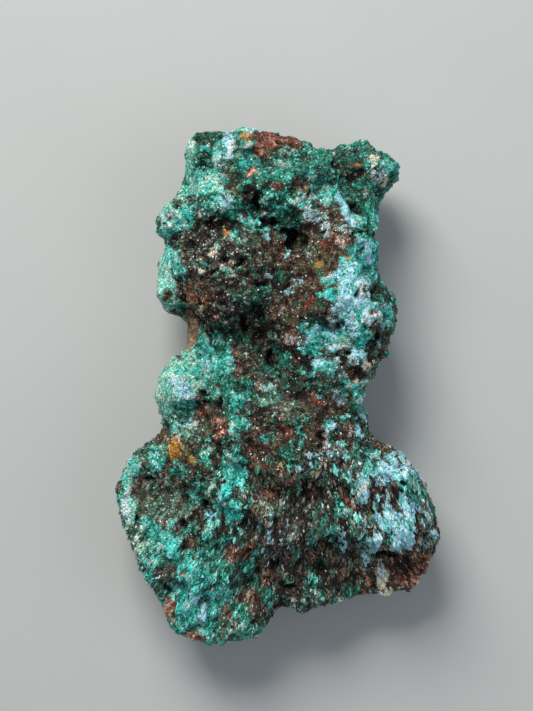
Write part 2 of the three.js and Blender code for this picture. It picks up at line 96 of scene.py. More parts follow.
class Growth(Enum):
    """How the minerals grow together in one patch.

    Each has the parts of every mineral, how far the patch stands out in mm, how lumpy it is, and
    how thickly it is set with grains.
    """

    DARK_GREEN = (
        {"DEEP_MALACHITE": 6, "MALACHITE": 2.4, "GOETHITE": 1.4, "SILKY_MALACHITE": 0.6},
        -0.15, 1.0, 1.0,
    )
    MALACHITE = (
        {"MALACHITE": 4.8, "DEEP_MALACHITE": 2.8, "SILKY_MALACHITE": 2.2,
         "TURQUOISE_CRUST": 0.5, "GOETHITE": 0.5, "QUARTZ_DRUSE": 0.12},
        0.0, 1.0, 0.9,
    )
    TEAL = (
        {"SILKY_MALACHITE": 4.6, "MALACHITE": 2, "TURQUOISE_CRUST": 1.8, "DEEP_MALACHITE":
         1.6, "QUARTZ_DRUSE": 0.25},
        0.05, 1.0, 0.8,
    )
    TURQUOISE = (
        {"TURQUOISE_CRUST": 5.4, "SILKY_MALACHITE": 2.6, "MINT_CRUST": 1, "QUARTZ_DRUSE":
         0.9, "DEEP_MALACHITE": 0.7, "CHRYSOCOLLA": 0.4},
        0.1, 0.9, 0.55,
    )
    BRIGHT_TURQUOISE = (
        {"VIVID_CRUST": 6, "TURQUOISE_CRUST": 2, "SILKY_MALACHITE": 1.6, "QUARTZ_DRUSE":
         0.2},
        0.15, 0.8, 0.6,
    )
    MINT = (
        {"MINT_CRUST": 4.6, "TURQUOISE_CRUST": 2.2, "SILKY_MALACHITE": 1.4, "MALACHITE":
         0.8, "QUARTZ_DRUSE": 0.8},
        0.1, 0.5, 0.25,
    )
    WAXY_CRUST = (
        {"MINT_CRUST": 6.6, "TURQUOISE_CRUST": 2, "SILKY_MALACHITE": 0.6, "QUARTZ_DRUSE":
         0.9},
        0.1, 0.35, 0.1,
    )
    GREY_MINT = (
        {"MINT_CRUST": 2.6, "MALACHITE": 2.4, "GREY_LIMONITE": 1.8, "QUARTZ_DRUSE": 0.7,
         "DEEP_MALACHITE": 1.8, "LIMONITE": 0.6},
        0.0, 0.9, 0.7,
    )
    SPECKLED_TEAL = (
        {"SILKY_MALACHITE": 2.8, "TURQUOISE_CRUST": 1.6, "QUARTZ_DRUSE": 1,
         "DEEP_MALACHITE": 2, "LIMONITE": 1.6},
        0.0, 1.0, 0.9,
    )
    PALE_BLUE = (
        {"CHRYSOCOLLA": 8, "QUARTZ_DRUSE": 0.6, "TURQUOISE_CRUST": 1.8, "SILKY_MALACHITE":
         0.4, "GREY_LIMONITE": 0.3, "GOETHITE": 0.2},
        0.25, 0.6, 0.4,
    )
    BLUE_LACE = (
        {"CHRYSOCOLLA": 4.2, "QUARTZ_DRUSE": 0.5, "TURQUOISE_CRUST": 1.4, "LIMONITE": 2.6,
         "GOETHITE": 1.1, "GREY_LIMONITE": 1, "RUST": 0.4},
        0.05, 1.0, 0.5,
    )
    WHITE_CRUST = (
        {"QUARTZ_DRUSE": 4, "CHRYSOCOLLA": 3, "MINT_CRUST": 1.4, "GREY_LIMONITE": 0.8},
        0.2, 0.7, 0.5,
    )
    WHITE_GRAIN = (
        {"CHRYSOCOLLA": 1.8, "QUARTZ_DRUSE": 1.4, "MINT_CRUST": 1.2, "LIMONITE": 2.8,
         "GREY_LIMONITE": 1.6, "GOETHITE": 0.8},
        0.0, 1.0, 0.8,
    )
    ROSE = (
        {"GREY_LIMONITE": 2.6, "QUARTZ_DRUSE": 1.5, "BRICK_HEMATITE": 1.2, "SALMON_CLAY":
         1, "GOETHITE": 0.8},
        0.0, 0.9, 0.7,
    )
    CREAM = (
        {"CREAM_CALCITE": 5, "QUARTZ_DRUSE": 1.2, "OLIVE_CLAY": 0.8, "TURQUOISE_CRUST":
         0.8, "LIMONITE": 0.8},
        0.15, 0.9, 0.5,
    )
    # Its pale quartz and grey limonite grains partly stand in for the glints of the dark block:
    # painted highlights.
    SPARKLE = (
        {"GOETHITE": 6, "LIMONITE": 2, "GREY_LIMONITE": 2.2, "QUARTZ_DRUSE": 1.1,
         "DEEP_MALACHITE": 2.2},
        0.0, 1.5, 0.9,
    )
    DARK_CRUST = (
        {"GOETHITE": 4.8, "LIMONITE": 2.2, "GREY_LIMONITE": 0.9, "DEEP_MALACHITE": 2.2,
         "QUARTZ_DRUSE": 0.25, "MALACHITE": 0.6},
        0.0, 1.3, 0.9,
    )
    BROWN_CRUST = (
        {"LIMONITE": 5, "GREY_LIMONITE": 1.4, "GOETHITE": 2, "RUST": 0.5, "OLIVE_CLAY":
         0.8, "MALACHITE": 0.5, "QUARTZ_DRUSE": 0.2},
        0.0, 1.0, 0.9,
    )
    DARK_BROWN = (
        {"GOETHITE": 4, "LIMONITE": 4, "GREY_LIMONITE": 0.8, "DEEP_MALACHITE": 0.8},
        -0.2, 1.0, 0.8,
    )
    MIXED_GROUND = (
        {"GOETHITE": 2.4, "LIMONITE": 2.4, "DEEP_MALACHITE": 2.2, "MALACHITE": 1.6,
         "GREY_LIMONITE": 1, "SILKY_MALACHITE": 0.6, "QUARTZ_DRUSE": 0.2},
        0.0, 1.0, 0.9,
    )
    GREEN_EARTH = (
        {"GREY_LIMONITE": 3.4, "OLIVE_CLAY": 1.6, "MALACHITE": 2.2, "DEEP_MALACHITE": 0.9,
         "LIMONITE": 1.2, "GOETHITE": 0.4, "MINT_CRUST": 1.6, "QUARTZ_DRUSE": 0.4},
        0.0, 0.8, 0.8,
    )
    GREY_STREAK = (
        {"GREY_LIMONITE": 3, "GOETHITE": 2.8, "CHRYSOCOLLA": 0.8, "QUARTZ_DRUSE": 0.6,
         "DEEP_MALACHITE": 1.4, "LIMONITE": 1},
        0.0, 1.0, 0.9,
    )
    RUST = ({"RUST": 5, "LIMONITE": 2.8, "BRICK_HEMATITE": 1, "GOETHITE": 1}, 0.05, 1.2, 0.8)
    BRICK = (
        {"BRICK_HEMATITE": 5, "RUST": 2, "SALMON_CLAY": 1, "GOETHITE": 0.9, "LIMONITE": 1},
        0.05, 0.9, 0.7,
    )
    BRICK_BROWN = (
        {"LIMONITE": 3.6, "RUST": 2.2, "BRICK_HEMATITE": 1.2, "GOETHITE": 1.8,
         "SALMON_CLAY": 0.4},
        0.0, 0.8, 0.8,
    )
    SALMON = ({"SALMON_CLAY": 6, "BRICK_HEMATITE": 1.6, "LIMONITE": 0.5}, 0.05, 0.7, 0.4)
    OCHRE = ({"OCHRE": 4, "OLIVE_CLAY": 1.6, "LIMONITE": 2, "MALACHITE": 1.2}, 0.0, 0.9, 0.6)
    ORANGE = ({"OCHRE": 8, "SALMON_CLAY": 1}, 0.1, 0.7, 0.4)
    OLIVE = (
        {"OLIVE_CLAY": 3.4, "LIMONITE": 2.8, "MALACHITE": 1.2, "GREY_LIMONITE": 0.8,
         "QUARTZ_DRUSE": 0.2, "GOETHITE": 0.8},
        0.0, 0.9, 0.7,
    )
    TAN = (
        {"TAN_JASPER": 8, "LIMONITE": 0.7, "GREY_LIMONITE": 0.9, "OLIVE_CLAY": 0.4},
        -0.1, 0.35, 0.12,
    )
    # A sunk pit set with black minerals, which also stand in for the shade inside it: partly
    # painted shade.
    VOID = ({"GOETHITE": 6, "DEEP_MALACHITE": 4, "LIMONITE": 1}, -0.75, 0.9, 0.6)

    @property
    def shares(self) -> np.ndarray:
        """The parts of each mineral, scaled to add up to one, in the order of MINERALS."""
        parts = np.array([self.value[0].get(m.name, 0.0) for m in MINERALS])
        return parts / parts.sum()

    @property
    def traits(self) -> np.ndarray:
        """Its rise in mm, its lumpiness and how thickly it is set with grains."""
        return np.array(self.value[1:])


@dataclass(frozen=True)
class Patch:
    """An oval patch of one growth on the upper face, in mm from the middle of the stone."""

    growth: Growth
    x: float
    y: float
    half_width: float
    half_height: float
    turn: float = 0.0

    def cover(self, xy: np.ndarray) -> np.ndarray:
        """How much of the ground the patch covers.

        Args:
            xy: places in mm, one row each.

        Returns:
            A value from 0 to 1 for each place.
        """
        angle = math.radians(self.turn)
        across = (xy[:, 0] - self.x) * math.cos(angle) + (xy[:, 1] - self.y) * math.sin(angle)
        along = (xy[:, 1] - self.y) * math.cos(angle) - (xy[:, 0] - self.x) * math.sin(angle)
        away = np.hypot(across / self.half_width, along / self.half_height)
        return smooth_step(1.3, 0.75, away)


def smooth_step(start: float, end: float, value: np.ndarray) -> np.ndarray:
    """Goes smoothly from 0 at start to 1 at end.

    Args:
        start: where it is 0.
        end: where it is 1, which may be below start.
        value: the values to look up.

    Returns:
        A value from 0 to 1 for each.
    """
    t = np.clip((value - start) / (end - start), 0.0, 1.0)
    return t * t * (3.0 - 2.0 * t)


def lattice(cells: np.ndarray, seed: int) -> np.ndarray:
    """A fixed random number from 0 to 1 for each whole-number cell.

    Args:
        cells: whole-number cell positions, with x, y and z in the last axis.
        seed: which set of numbers.

    Returns:
        One number for each cell.
    """
    mixed = cells.astype(np.int64) * np.array([73856093, 19349663, 83492791])
    h = mixed[..., 0] ^ mixed[..., 1] ^ mixed[..., 2] ^ (seed * 2654435761 + 12345)
    for shift, factor in ((16, 0x45D9F3B), (15, 0x2C1B3C6D), (13, 0x297A2D39)):
        h = ((h ^ (h >> shift)) * factor) & 0xFFFFFFFF
    return (h ^ (h >> 16)) / 4294967296.0


def swell(points: np.ndarray, size: float, seed: int, octaves: int = 1) -> np.ndarray:
    """Smooth noise from -1 to 1.

    Args:
        points: places in mm.
        size: the size of its largest swells in mm.
        seed: which pattern.
        octaves: how many finer layers are added, each half as large and half as strong.

    Returns:
        The noise at each place.
    """
    total = np.zeros(len(points))
    for octave in range(octaves):
        scaled = points / size * 2**octave + 17.3 * octave
        low = np.floor(scaled).astype(np.int64)
        t = scaled - low
        t = t * t * (3.0 - 2.0 * t)
        value = np.zeros(len(points))
        for corner in np.ndindex(2, 2, 2):
            weight = np.prod(np.where(np.array(corner) == 1, t, 1.0 - t), axis=1)
            value += weight * lattice(low + np.array(corner), seed + octave)
        total += (2.0 * value - 1.0) / 2**octave
    return total


def knobs(points: np.ndarray, size: float, seed: int) -> tuple[np.ndarray, np.ndarray, np.ndarray]:
    """Scattered knob centres, one in each cell of the given size.

    Args:
        points: places in mm.
        size: the spacing of the knobs in mm.
        seed: which pattern.

    Returns:
        The distances to the nearest and the second nearest centre in knob sizes, and a random
        number from 0 to 1 that is the same all over one knob.
    """
    scaled = points / size
    low = np.floor(scaled).astype(np.int64)
    first = np.full(len(points), 9.0)
    second = np.full(len(points), 9.0)
    tag = np.zeros(len(points))
    for step in np.ndindex(3, 3, 3):
        cell = low + np.array(step) - 1
        centre = cell + np.stack([lattice(cell, seed + axis) for axis in range(3)], axis=1)
        away = np.linalg.norm(scaled - centre, axis=1)
        nearer = away < first
        second = np.where(nearer, first, np.minimum(second, away))
        tag = np.where(nearer, lattice(cell, seed + 3), tag)
        first = np.where(nearer, away, first)
    return first, second, tag


# The patches of growth on the upper face, each with its growth, its place, its half width and its
# half height in mm, and its turn in degrees if it has one. A later one covers an earlier one.
PATCHES = [
    Patch(Growth[name], *sizes)
    for name, *sizes in (
        # broad ground, top to bottom
        ("MALACHITE", 0.1, 20.5, 10.68, 4.37), ("DARK_CRUST", -4.2, 10.8, 5.83, 5.05),
        ("BROWN_CRUST", 4, 12, 3.3, 4.08), ("MIXED_GROUND", 0.1, 2.5, 6.8, 5.83),
        ("MIXED_GROUND", 1.1, -6.2, 8.74, 5.83), ("MIXED_GROUND", -10.6, -11.1, 5.83, 5.83),
        ("DARK_CRUST", 2.1, -15, 7.77, 5.83), ("TEAL", -7.2, -19.8, 6.8, 5.34),
        ("BROWN_CRUST", 11.8, -16.9, 4.85, 4.37),
        # squarer end, left part
        ("DARK_GREEN", -6.8, 24.6, 2.33, 0.78, 3), ("WAXY_CRUST", -8.6, 21.9, 0.49, 2.14),
        ("MINT", -8.7, 20.6, 0.49, 1.17), ("DARK_GREEN", -7.3, 23.5, 0.78, 0.58),
        ("TEAL", -7.5, 22.7, 0.78, 0.58), ("DARK_GREEN", -7.3, 21.2, 0.78, 1.26),
        ("BRIGHT_TURQUOISE", -7.8, 21.6, 0.25, 0.25),
        ("BRIGHT_TURQUOISE", -6.9, 21.2, 0.29, 0.19, -15), ("MINT", -6.1, 22.3, 0.39, 0.87, 5),
        ("GREY_MINT", -5.2, 21.3, 0.78, 0.87), ("PALE_BLUE", -4.9, 23.2, 0.78, 1.17, -8),
        ("WHITE_CRUST", -4.7, 23.6, 0.39, 0.58), ("WHITE_GRAIN", -6, 21.1, 0.39, 0.49),
        ("MINT", -6.3, 20.2, 0.68, 0.78), ("OLIVE", -4.8, 20.4, 0.58, 0.68),
        ("TURQUOISE", -5.1, 20, 0.29, 0.24), ("MINT", -7.7, 20, 0.68, 0.97),
        ("MINT", -3.2, 24.8, 1.17, 0.39), ("WHITE_GRAIN", -2.7, 25, 0.58, 0.24),
        ("ORANGE", -3.1, 24.1, 0.78, 0.31), ("BRICK_BROWN", -0.1, 23.9, 2.62, 0.78, -9),
        ("BRICK", -0.3, 24.1, 1.55, 0.39, -9), ("RUST", -0.8, 23.5, 0.78, 0.29, -20),
        ("DARK_BROWN", 0.7, 23.4, 0.78, 0.23, -15), ("BRICK", -1.6, 23, 0.97, 0.78, -25),
        ("SALMON", -2, 22.5, 0.87, 0.23, 25), ("WHITE_CRUST", -3.3, 23.3, 0.49, 0.44),
        ("GREY_MINT", -3.9, 22.7, 0.49, 0.49), ("TURQUOISE", -3, 22.3, 0.58, 0.29),
        ("TEAL", -3.1, 21.5, 1.17, 0.58), ("BRIGHT_TURQUOISE", -3.6, 21.7, 0.29, 0.25),
        ("SALMON", -2.3, 21.1, 0.58, 0.25, 25), ("TEAL", -1.3, 20.8, 0.49, 0.29, 20),
        # green bar and arm
        ("MALACHITE", 1.3, 21.5, 3.3, 1.46, -4), ("SPECKLED_TEAL", -0.4, 21.5, 1.36, 0.97),
        ("MALACHITE", 2.3, 20.8, 1.36, 0.78), ("GREY_MINT", 1, 22.9, 0.68, 0.39),
        ("GREY_MINT", 0.4, 21.5, 0.39, 0.39), ("TURQUOISE", 0.9, 20, 0.49, 0.29),
        ("DARK_GREEN", 2.7, 22.1, 0.78, 0.58), ("MALACHITE", 4, 21.9, 1.36, 0.87),
        ("GREY_MINT", 5.2, 23.1, 0.97, 0.33, -3), ("DARK_GREEN", 7.1, 22.8, 0.87, 0.58),
        ("WHITE_GRAIN", 7, 23.2, 0.49, 0.29), ("DARK_GREEN", 5.8, 21.4, 0.97, 0.87),
        ("VOID", 5.4, 21.4, 0.39, 0.58, 10), ("TEAL", 10.1, 21.4, 1.55, 1.46, -12),
        ("TURQUOISE", 10.4, 21.2, 0.58, 0.87, -10), ("WHITE_GRAIN", 9.1, 21.8, 0.68, 0.49),
        ("CREAM", 9.2, 21.7, 0.39, 0.39), ("CREAM", 9.7, 20.1, 0.78, 0.58, -35),
        ("WHITE_GRAIN", 9.3, 20.3, 0.78, 0.58, -35), ("MINT", 10.4, 21.6, 0.49, 0.49),
        ("DARK_BROWN", 7.5, 20.4, 1.17, 0.58), ("OLIVE", 7.4, 21.4, 0.49, 0.29),
        ("ORANGE", 7.8, 21.4, 0.19, 0.16), ("MALACHITE", 8.5, 16.6, 1.17, 3.5, 4),
        ("DARK_GREEN", 8, 18.2, 0.58, 1.26, 20), ("TEAL", 9.2, 16.7, 0.58, 1.94),
        ("WHITE_GRAIN", 8.2, 18.8, 0.29, 0.29), ("SPECKLED_TEAL", 4.5, 20, 1.94, 0.78, -12),
        ("SPECKLED_TEAL", 5, 20.2, 1.07, 0.39, -20), ("TURQUOISE", 5.6, 19.3, 0.78, 0.39, -35),
        ("BROWN_CRUST", 2.4, 19.6, 0.97, 0.49), ("ORANGE", 3.1, 19.3, 0.19, 0.25),
        ("RUST", -0.2, 19.2, 0.87, 0.39, -10), ("BRICK", -0.5, 19.2, 0.49, 0.29),
        ("DARK_GREEN", -1.6, 19.6, 0.78, 0.49), ("DARK_GREEN", 1, 19.1, 0.87, 0.49),
        ("DARK_GREEN", -2.6, 20.2, 0.58, 0.39),
        # slots and vugs under the bar
        ("DARK_BROWN", -2.7, 18.3, 0.97, 1.17), ("VOID", -3.1, 18.9, 0.49, 0.58),
        ("VOID", -2.1, 18.1, 0.29, 0.78), ("MALACHITE", -3.1, 17.3, 0.39, 0.78, 20),
        ("MALACHITE", -0.4, 17.7, 1.55, 1.07), ("TEAL", -0.2, 17.4, 0.78, 0.58),
        ("MINT", -1.2, 18.1, 0.39, 0.58), ("WHITE_GRAIN", -1.1, 16.9, 0.49, 0.39),
        # the first pit here carries on the painted shadow under the slab's lower edge
        ("VOID", -0.7, 16, 0.87, 0.29, -8), ("DARK_GREEN", 1.9, 16.7, 0.78, 1.17),
        ("MINT", 2.1, 17.7, 0.68, 0.78), ("MALACHITE", 1.5, 15.5, 0.78, 0.58),
        ("VOID", 1.5, 14.3, 0.68, 0.78, -20), ("VOID", 0.6, 15.1, 0.49, 0.33),
        # upper slab, lower edge
        ("MINT", -8.6, 19, 1.36, 0.68, 10), ("GREY_MINT", -9, 18, 0.97, 0.68),
        ("TURQUOISE", -9, 16.8, 1.17, 0.78), ("BRIGHT_TURQUOISE", -8.9, 16.6, 0.49, 0.39),
        ("WHITE_GRAIN", -7.9, 16.6, 0.58, 0.49, 20), ("MINT", -6.5, 19, 1.55, 0.78),
        ("OLIVE", -4.6, 19.3, 0.58, 0.49), ("SPECKLED_TEAL", -5.5, 17.8, 1.55, 0.97),
        ("WHITE_GRAIN", -4.8, 17.8, 0.68, 0.68), ("PALE_BLUE", -5.7, 17.7, 0.49, 0.23, -35),
        ("TEAL", -5.3, 16.7, 1.46, 0.35), ("TURQUOISE", -6, 18.1, 0.58, 0.29, -25),
        ("TURQUOISE", -3.1, 16.3, 0.58, 0.78), ("WHITE_GRAIN", -3.5, 16.5, 0.39, 0.39),
        ("TURQUOISE", -2.1, 15.7, 0.49, 0.39), ("TURQUOISE", -1.4, 15.2, 0.39, 0.29),
        # the thin dark strip and pit under the slab's lower edge stand in for the shadow the ledge
        # casts: painted shadow over a shallow groove
        ("DARK_CRUST", -6.2, 15.9, 2.33, 0.33), ("VOID", -6.5, 15.9, 0.97, 0.16),
        ("CREAM", -5.8, 16.1, 0.19, 0.16), ("WAXY_CRUST", -10.9, 16.2, 0.97, 1.75),
        ("MINT", -11.2, 17.6, 0.49, 0.49), ("WHITE_GRAIN", -10.8, 16.3, 0.44, 0.58),
        ("DARK_GREEN", -11.5, 15.6, 0.29, 0.49), ("TURQUOISE", -10.9, 14.9, 0.68, 0.49),
        ("TURQUOISE", -9.8, 15.5, 0.58, 0.78), ("DARK_GREEN", -9.2, 14.6, 0.58, 0.58),
        # the dark block
        ("SPARKLE", -7, 13.2, 2.72, 2.33), ("SPARKLE", -4.5, 11.5, 2.14, 1.75),
        ("DARK_CRUST", -1.8, 12, 2.14, 2.52), ("BROWN_CRUST", -0.7, 13.2, 1.26, 1.55),
        ("GREY_MINT", -3.7, 14.4, 0.87, 0.78), ("VOID", -5.1, 12.4, 0.29, 0.39),
        ("VOID", -7.1, 12, 0.25, 0.39), ("VOID", -6.3, 11.2, 0.29, 0.29),
        ("VOID", -8.5, 13.6, 0.29, 0.29), ("VOID", -3.8, 12, 0.23, 0.29),
        ("VOID", -7.3, 9.8, 0.39, 0.23), ("ORANGE", -5.1, 15, 0.25, 0.43),
        ("MINT", -4.3, 15, 0.39, 0.35), ("CREAM", -6.4, 13.1, 0.35, 0.35),
        ("TURQUOISE", -6.1, 13.5, 0.39, 0.25), ("TURQUOISE", -7.6, 12, 0.39, 0.29),
        ("CREAM", -7.7, 11.5, 0.39, 0.45), ("TURQUOISE", -9.6, 11.3, 0.49, 0.87),
        ("OLIVE", -9.3, 12.4, 0.29, 0.29), ("WHITE_GRAIN", -10.4, 11.3, 0.39, 1.17),
        ("BROWN_CRUST", -7.9, 9.2, 1.75, 1.26), ("BRICK", -8.4, 9.1, 0.49, 0.39),
        ("RUST", -7.1, 8.5, 0.49, 0.39), ("RUST", -8.6, 8.2, 0.49, 0.29),
        ("OLIVE", -8.7, 7.6, 0.87, 0.39), ("GREY_MINT", -5.2, 10.8, 0.78, 0.78),
        ("RUST", -4.6, 12, 0.29, 0.23), ("MINT", -3.1, 10, 0.19, 0.33),
        ("PALE_BLUE", 0.8, 12.6, 0.29, 0.49), ("PALE_BLUE", -1, 14.3, 0.19, 0.39),
        ("DARK_GREEN", 0.1, 10.6, 0.87, 0.68), ("DARK_GREEN", -1.6, 8.5, 0.87, 1.36),
        ("DARK_CRUST", -4.8, 8.5, 1.26, 1.46), ("TURQUOISE", -4.9, 8.1, 0.29, 0.16),
        ("VOID", -1.6, 9.8, 0.39, 0.29), ("BROWN_CRUST", 0.5, 11.6, 0.58, 0.78),
        ("WHITE_GRAIN", -1, 10.6, 0.29, 0.29), ("SPARKLE", -7, 6.3, 1.17, 0.78),
        ("SPARKLE", -4.9, 7.5, 1.36, 0.78), ("CREAM", -7.6, 7.5, 0.29, 0.52),
        ("SALMON", -6.1, 6.7, 0.39, 0.33), ("ROSE", -5.1, 6.2, 0.49, 0.29),
        ("DARK_GREEN", -5.7, 5.1, 1.75, 0.58), ("TEAL", -4.2, 6.4, 0.29, 0.49),
        # the left crust
        ("WAXY_CRUST", -11, 10.2, 0.87, 3.5), ("WAXY_CRUST", -11.3, 9.3, 0.49, 1.46),
        ("TURQUOISE", -10.7, 12.7, 0.78, 0.78, 20), ("OLIVE", -10.7, 8.7, 0.39, 0.58),
        ("MINT", -9.8, 7.4, 0.87, 0.49, -15), ("DARK_BROWN", -9.2, 7.1, 0.87, 0.29),
        ("TAN", -8.6, 5, 0.78, 2.04), ("DARK_GREEN", -9.5, 5.8, 0.39, 0.49),
        # shoulder
        ("BROWN_CRUST", 4.2, 16.7, 1.94, 1.55), ("OLIVE", 5, 17.6, 0.97, 0.87),
        ("WHITE_GRAIN", 3.3, 18.2, 1.07, 0.78), ("WHITE_GRAIN", 3.4, 18.3, 0.58, 0.49),
        ("TURQUOISE", 2.9, 17.3, 0.39, 0.68), ("TURQUOISE", 4.5, 18.3, 0.39, 0.68),
        ("WHITE_GRAIN", 3.8, 16.7, 1.17, 0.97), ("WHITE_GRAIN", 2.7, 16.5, 0.58, 0.78),
        ("BROWN_CRUST", 4, 17.5, 0.39, 0.39), ("OLIVE", 5.6, 16.8, 0.58, 0.58),
        ("BROWN_CRUST", 5, 16.9, 0.78, 0.39, -30), ("DARK_GREEN", 3.3, 17.5, 0.49, 0.39),
        ("TURQUOISE", 5.1, 19.1, 0.39, 0.58, 35), ("PALE_BLUE", 5.9, 18.2, 0.43, 0.87, 25),
        ("TURQUOISE", 6.5, 17.3, 0.58, 0.78, 35), ("PALE_BLUE", 6.2, 17.1, 0.33, 0.58, 30),
        ("MINT", 7.3, 16.2, 1.07, 0.68, -30), ("PALE_BLUE", 7.1, 16, 0.78, 0.39, -25),
        ("TURQUOISE", 8, 15.8, 0.29, 0.49), ("DARK_GREEN", 7.5, 17.5, 0.58, 0.78, 30),
        ("VOID", 7.4, 17.5, 0.29, 0.39), ("WHITE_GRAIN", 5, 15.5, 1.36, 0.49),
        ("PALE_BLUE", 4.5, 14.6, 0.49, 0.39, -20), ("VOID", 4, 14.9, 0.21, 0.19),
        ("WHITE_GRAIN", 6.5, 15, 0.97, 0.39, 10), ("ROSE", 6.3, 14.3, 0.78, 0.58),
        ("DARK_GREEN", 8.5, 14.6, 0.78, 0.58), ("VOID", 7.7, 15, 0.49, 0.19),
        # brown slope and the blue column beside it
        ("BROWN_CRUST", 3.8, 12.4, 2.14, 2.52), ("BRICK_BROWN", 4.9, 13.8, 0.78, 0.58),
        ("OLIVE", 3.8, 12, 1.26, 1.36), ("OLIVE", 2.7, 13.7, 0.58, 1.17),
        ("WHITE_GRAIN", 2.7, 12.5, 0.39, 0.58), ("RUST", 4.9, 11, 0.49, 0.39),
        ("OCHRE", 3.7, 11.5, 0.49, 0.39), ("WHITE_GRAIN", 2.3, 10.5, 0.29, 0.29),
        ("TURQUOISE", 8.5, 12.4, 1.17, 2.33), ("PALE_BLUE", 8, 13.5, 0.87, 0.78),
        ("TURQUOISE", 8.7, 12.3, 0.68, 1.17), ("PALE_BLUE", 8.5, 13, 0.39, 0.49),
        ("BRIGHT_TURQUOISE", 9.2, 13.1, 0.33, 0.68), ("BRIGHT_TURQUOISE", 8.6, 11.7, 0.49, 0.78),
        ("BRIGHT_TURQUOISE", 7.5, 13.1, 0.49, 0.68), ("PALE_BLUE", 8.8, 12.1, 0.29, 0.78),
        ("PALE_BLUE", 7.8, 12.5, 0.33, 0.68, 15), ("PALE_BLUE", 8.4, 13.6, 0.49, 0.29),
        ("TURQUOISE", 9.2, 11, 0.39, 0.78), ("TURQUOISE", 7.2, 12.5, 0.58, 1.07),
        ("TURQUOISE", 7.5, 12, 0.58, 0.97), ("PALE_BLUE", 7.4, 11.5, 0.49, 0.58),
        ("PALE_BLUE", 7, 11.3, 0.87, 0.78), ("TURQUOISE", 6.3, 12.2, 0.39, 0.39),
        ("OLIVE", 8, 13.1, 0.17, 0.31), ("ORANGE", 6.6, 12.4, 0.17, 0.16),
        # the blue ridge
        ("PALE_BLUE", 6.5, 10.4, 1.36, 0.87), ("TURQUOISE", 5, 10.2, 0.78, 0.39),
        ("PALE_BLUE", 7.2, 8.3, 1.94, 2.14), ("PALE_BLUE", 6.4, 7.9, 1.17, 1.55),
        ("WHITE_CRUST", 8.4, 9.3, 0.68, 0.87), ("PALE_BLUE", 8.5, 7.6, 1.36, 0.78),
        ("TURQUOISE", 4.5, 8.9, 1.07, 0.68, -10), ("BRIGHT_TURQUOISE", 4.7, 8.9, 0.68, 0.49),
        ("TURQUOISE", 7.1, 6.3, 1.17, 0.68), ("WHITE_CRUST", 5.8, 7.1, 0.78, 0.39),
        ("WHITE_CRUST", 5.1, 6.1, 0.49, 0.68), ("VOID", 5.4, 6.8, 0.17, 0.25, 40),
        ("PALE_BLUE", 7.1, 5.7, 1.17, 0.78), ("WHITE_CRUST", 9.2, 6.7, 0.87, 0.68),
        ("ROSE", 9.2, 7, 0.29, 0.19), ("VOID", 7.7, 8.9, 0.13, 0.33, 20),
        ("VOID", 8.3, 9.2, 0.13, 0.13), ("BRIGHT_TURQUOISE", 8.2, 7.5, 0.29, 0.29),
        ("DARK_GREEN", 9.6, 9.3, 0.78, 0.78, -20), ("VOID", 9.4, 9.4, 0.33, 0.49),
        ("SPECKLED_TEAL", 10.7, 8.3, 0.68, 0.87), ("BRIGHT_TURQUOISE", 10.5, 7, 0.58, 0.68),
        ("TURQUOISE", 10.6, 6.2, 0.49, 0.58), ("WHITE_GRAIN", 9.8, 6, 0.68, 0.49),
        ("RUST", 9.8, 5.1, 0.87, 0.35, 8), ("DARK_BROWN", 10.7, 4.8, 0.29, 0.39),
        ("PALE_BLUE", 7.8, 5.3, 0.58, 0.39), ("TURQUOISE", 8.6, 4.9, 0.78, 0.39),
        ("BRIGHT_TURQUOISE", 8.1, 4.4, 0.58, 0.49), ("DARK_GREEN", 9, 4, 0.39, 0.58),
        ("DARK_BROWN", 10.1, 3.5, 0.58, 0.97), ("WHITE_GRAIN", 9.5, 4.2, 0.31, 0.58, 25),
        ("DARK_CRUST", 9.3, 2.9, 0.78, 0.78),
        # blue crust, lower left
        ("TURQUOISE", 3.3, 5.2, 1.36, 0.78), ("PALE_BLUE", 3.6, 5.5, 0.49, 0.49),
        ("WHITE_GRAIN", 2.7, 4.9, 0.39, 0.39), ("BRIGHT_TURQUOISE", 2.7, 3.7, 0.87, 0.87),
        ("TURQUOISE", 3.2, 3.9, 0.58, 0.58), ("WHITE_CRUST", 3.6, 4.4, 0.68, 0.29, -10),
        ("PALE_BLUE", 3.1, 5.1, 0.49, 0.39), ("PALE_BLUE", 5.4, 4.3, 0.58, 0.39),
        ("WHITE_CRUST", 6.9, 5.1, 0.58, 0.29), ("WHITE_GRAIN", 2.4, 4, 0.39, 0.49),
        ("TURQUOISE", 4.1, 4.7, 0.97, 0.58), ("TURQUOISE", 6, 4.8, 1.36, 0.78),
        ("PALE_BLUE", 5.6, 4.7, 0.78, 0.39), ("PALE_BLUE", 7, 4.7, 0.68, 0.29),
        ("PALE_BLUE", 4.5, 5, 0.78, 0.29, -10), ("MINT", 6.3, 4.2, 1.07, 0.39),
        ("BRIGHT_TURQUOISE", 6, 4.8, 0.29, 0.29), ("WHITE_CRUST", 6.3, 3.7, 1.65, 0.21, 2),
        ("VOID", 5.6, 3.1, 0.35, 0.19), ("VOID", 6.8, 3.1, 0.39, 0.23),
        ("TURQUOISE", 4, 3.5, 1.17, 0.58), ("PALE_BLUE", 5, 3.6, 0.58, 0.29),
        ("BROWN_CRUST", 4.3, 3.3, 0.39, 0.23), ("BRICK", 4.9, 2.9, 0.23, 0.29),
        ("PALE_BLUE", 8, 3.1, 0.68, 0.58), ("WHITE_CRUST", 7.2, 2.5, 0.58, 0.49),
        ("CREAM", 8.6, 1.9, 0.43, 0.68, -20), ("VOID", 8, 1.8, 0.14, 0.39),
        ("TURQUOISE", 4.5, 1.9, 1.26, 0.68), ("PALE_BLUE", 3.6, 2.1, 0.58, 0.49),
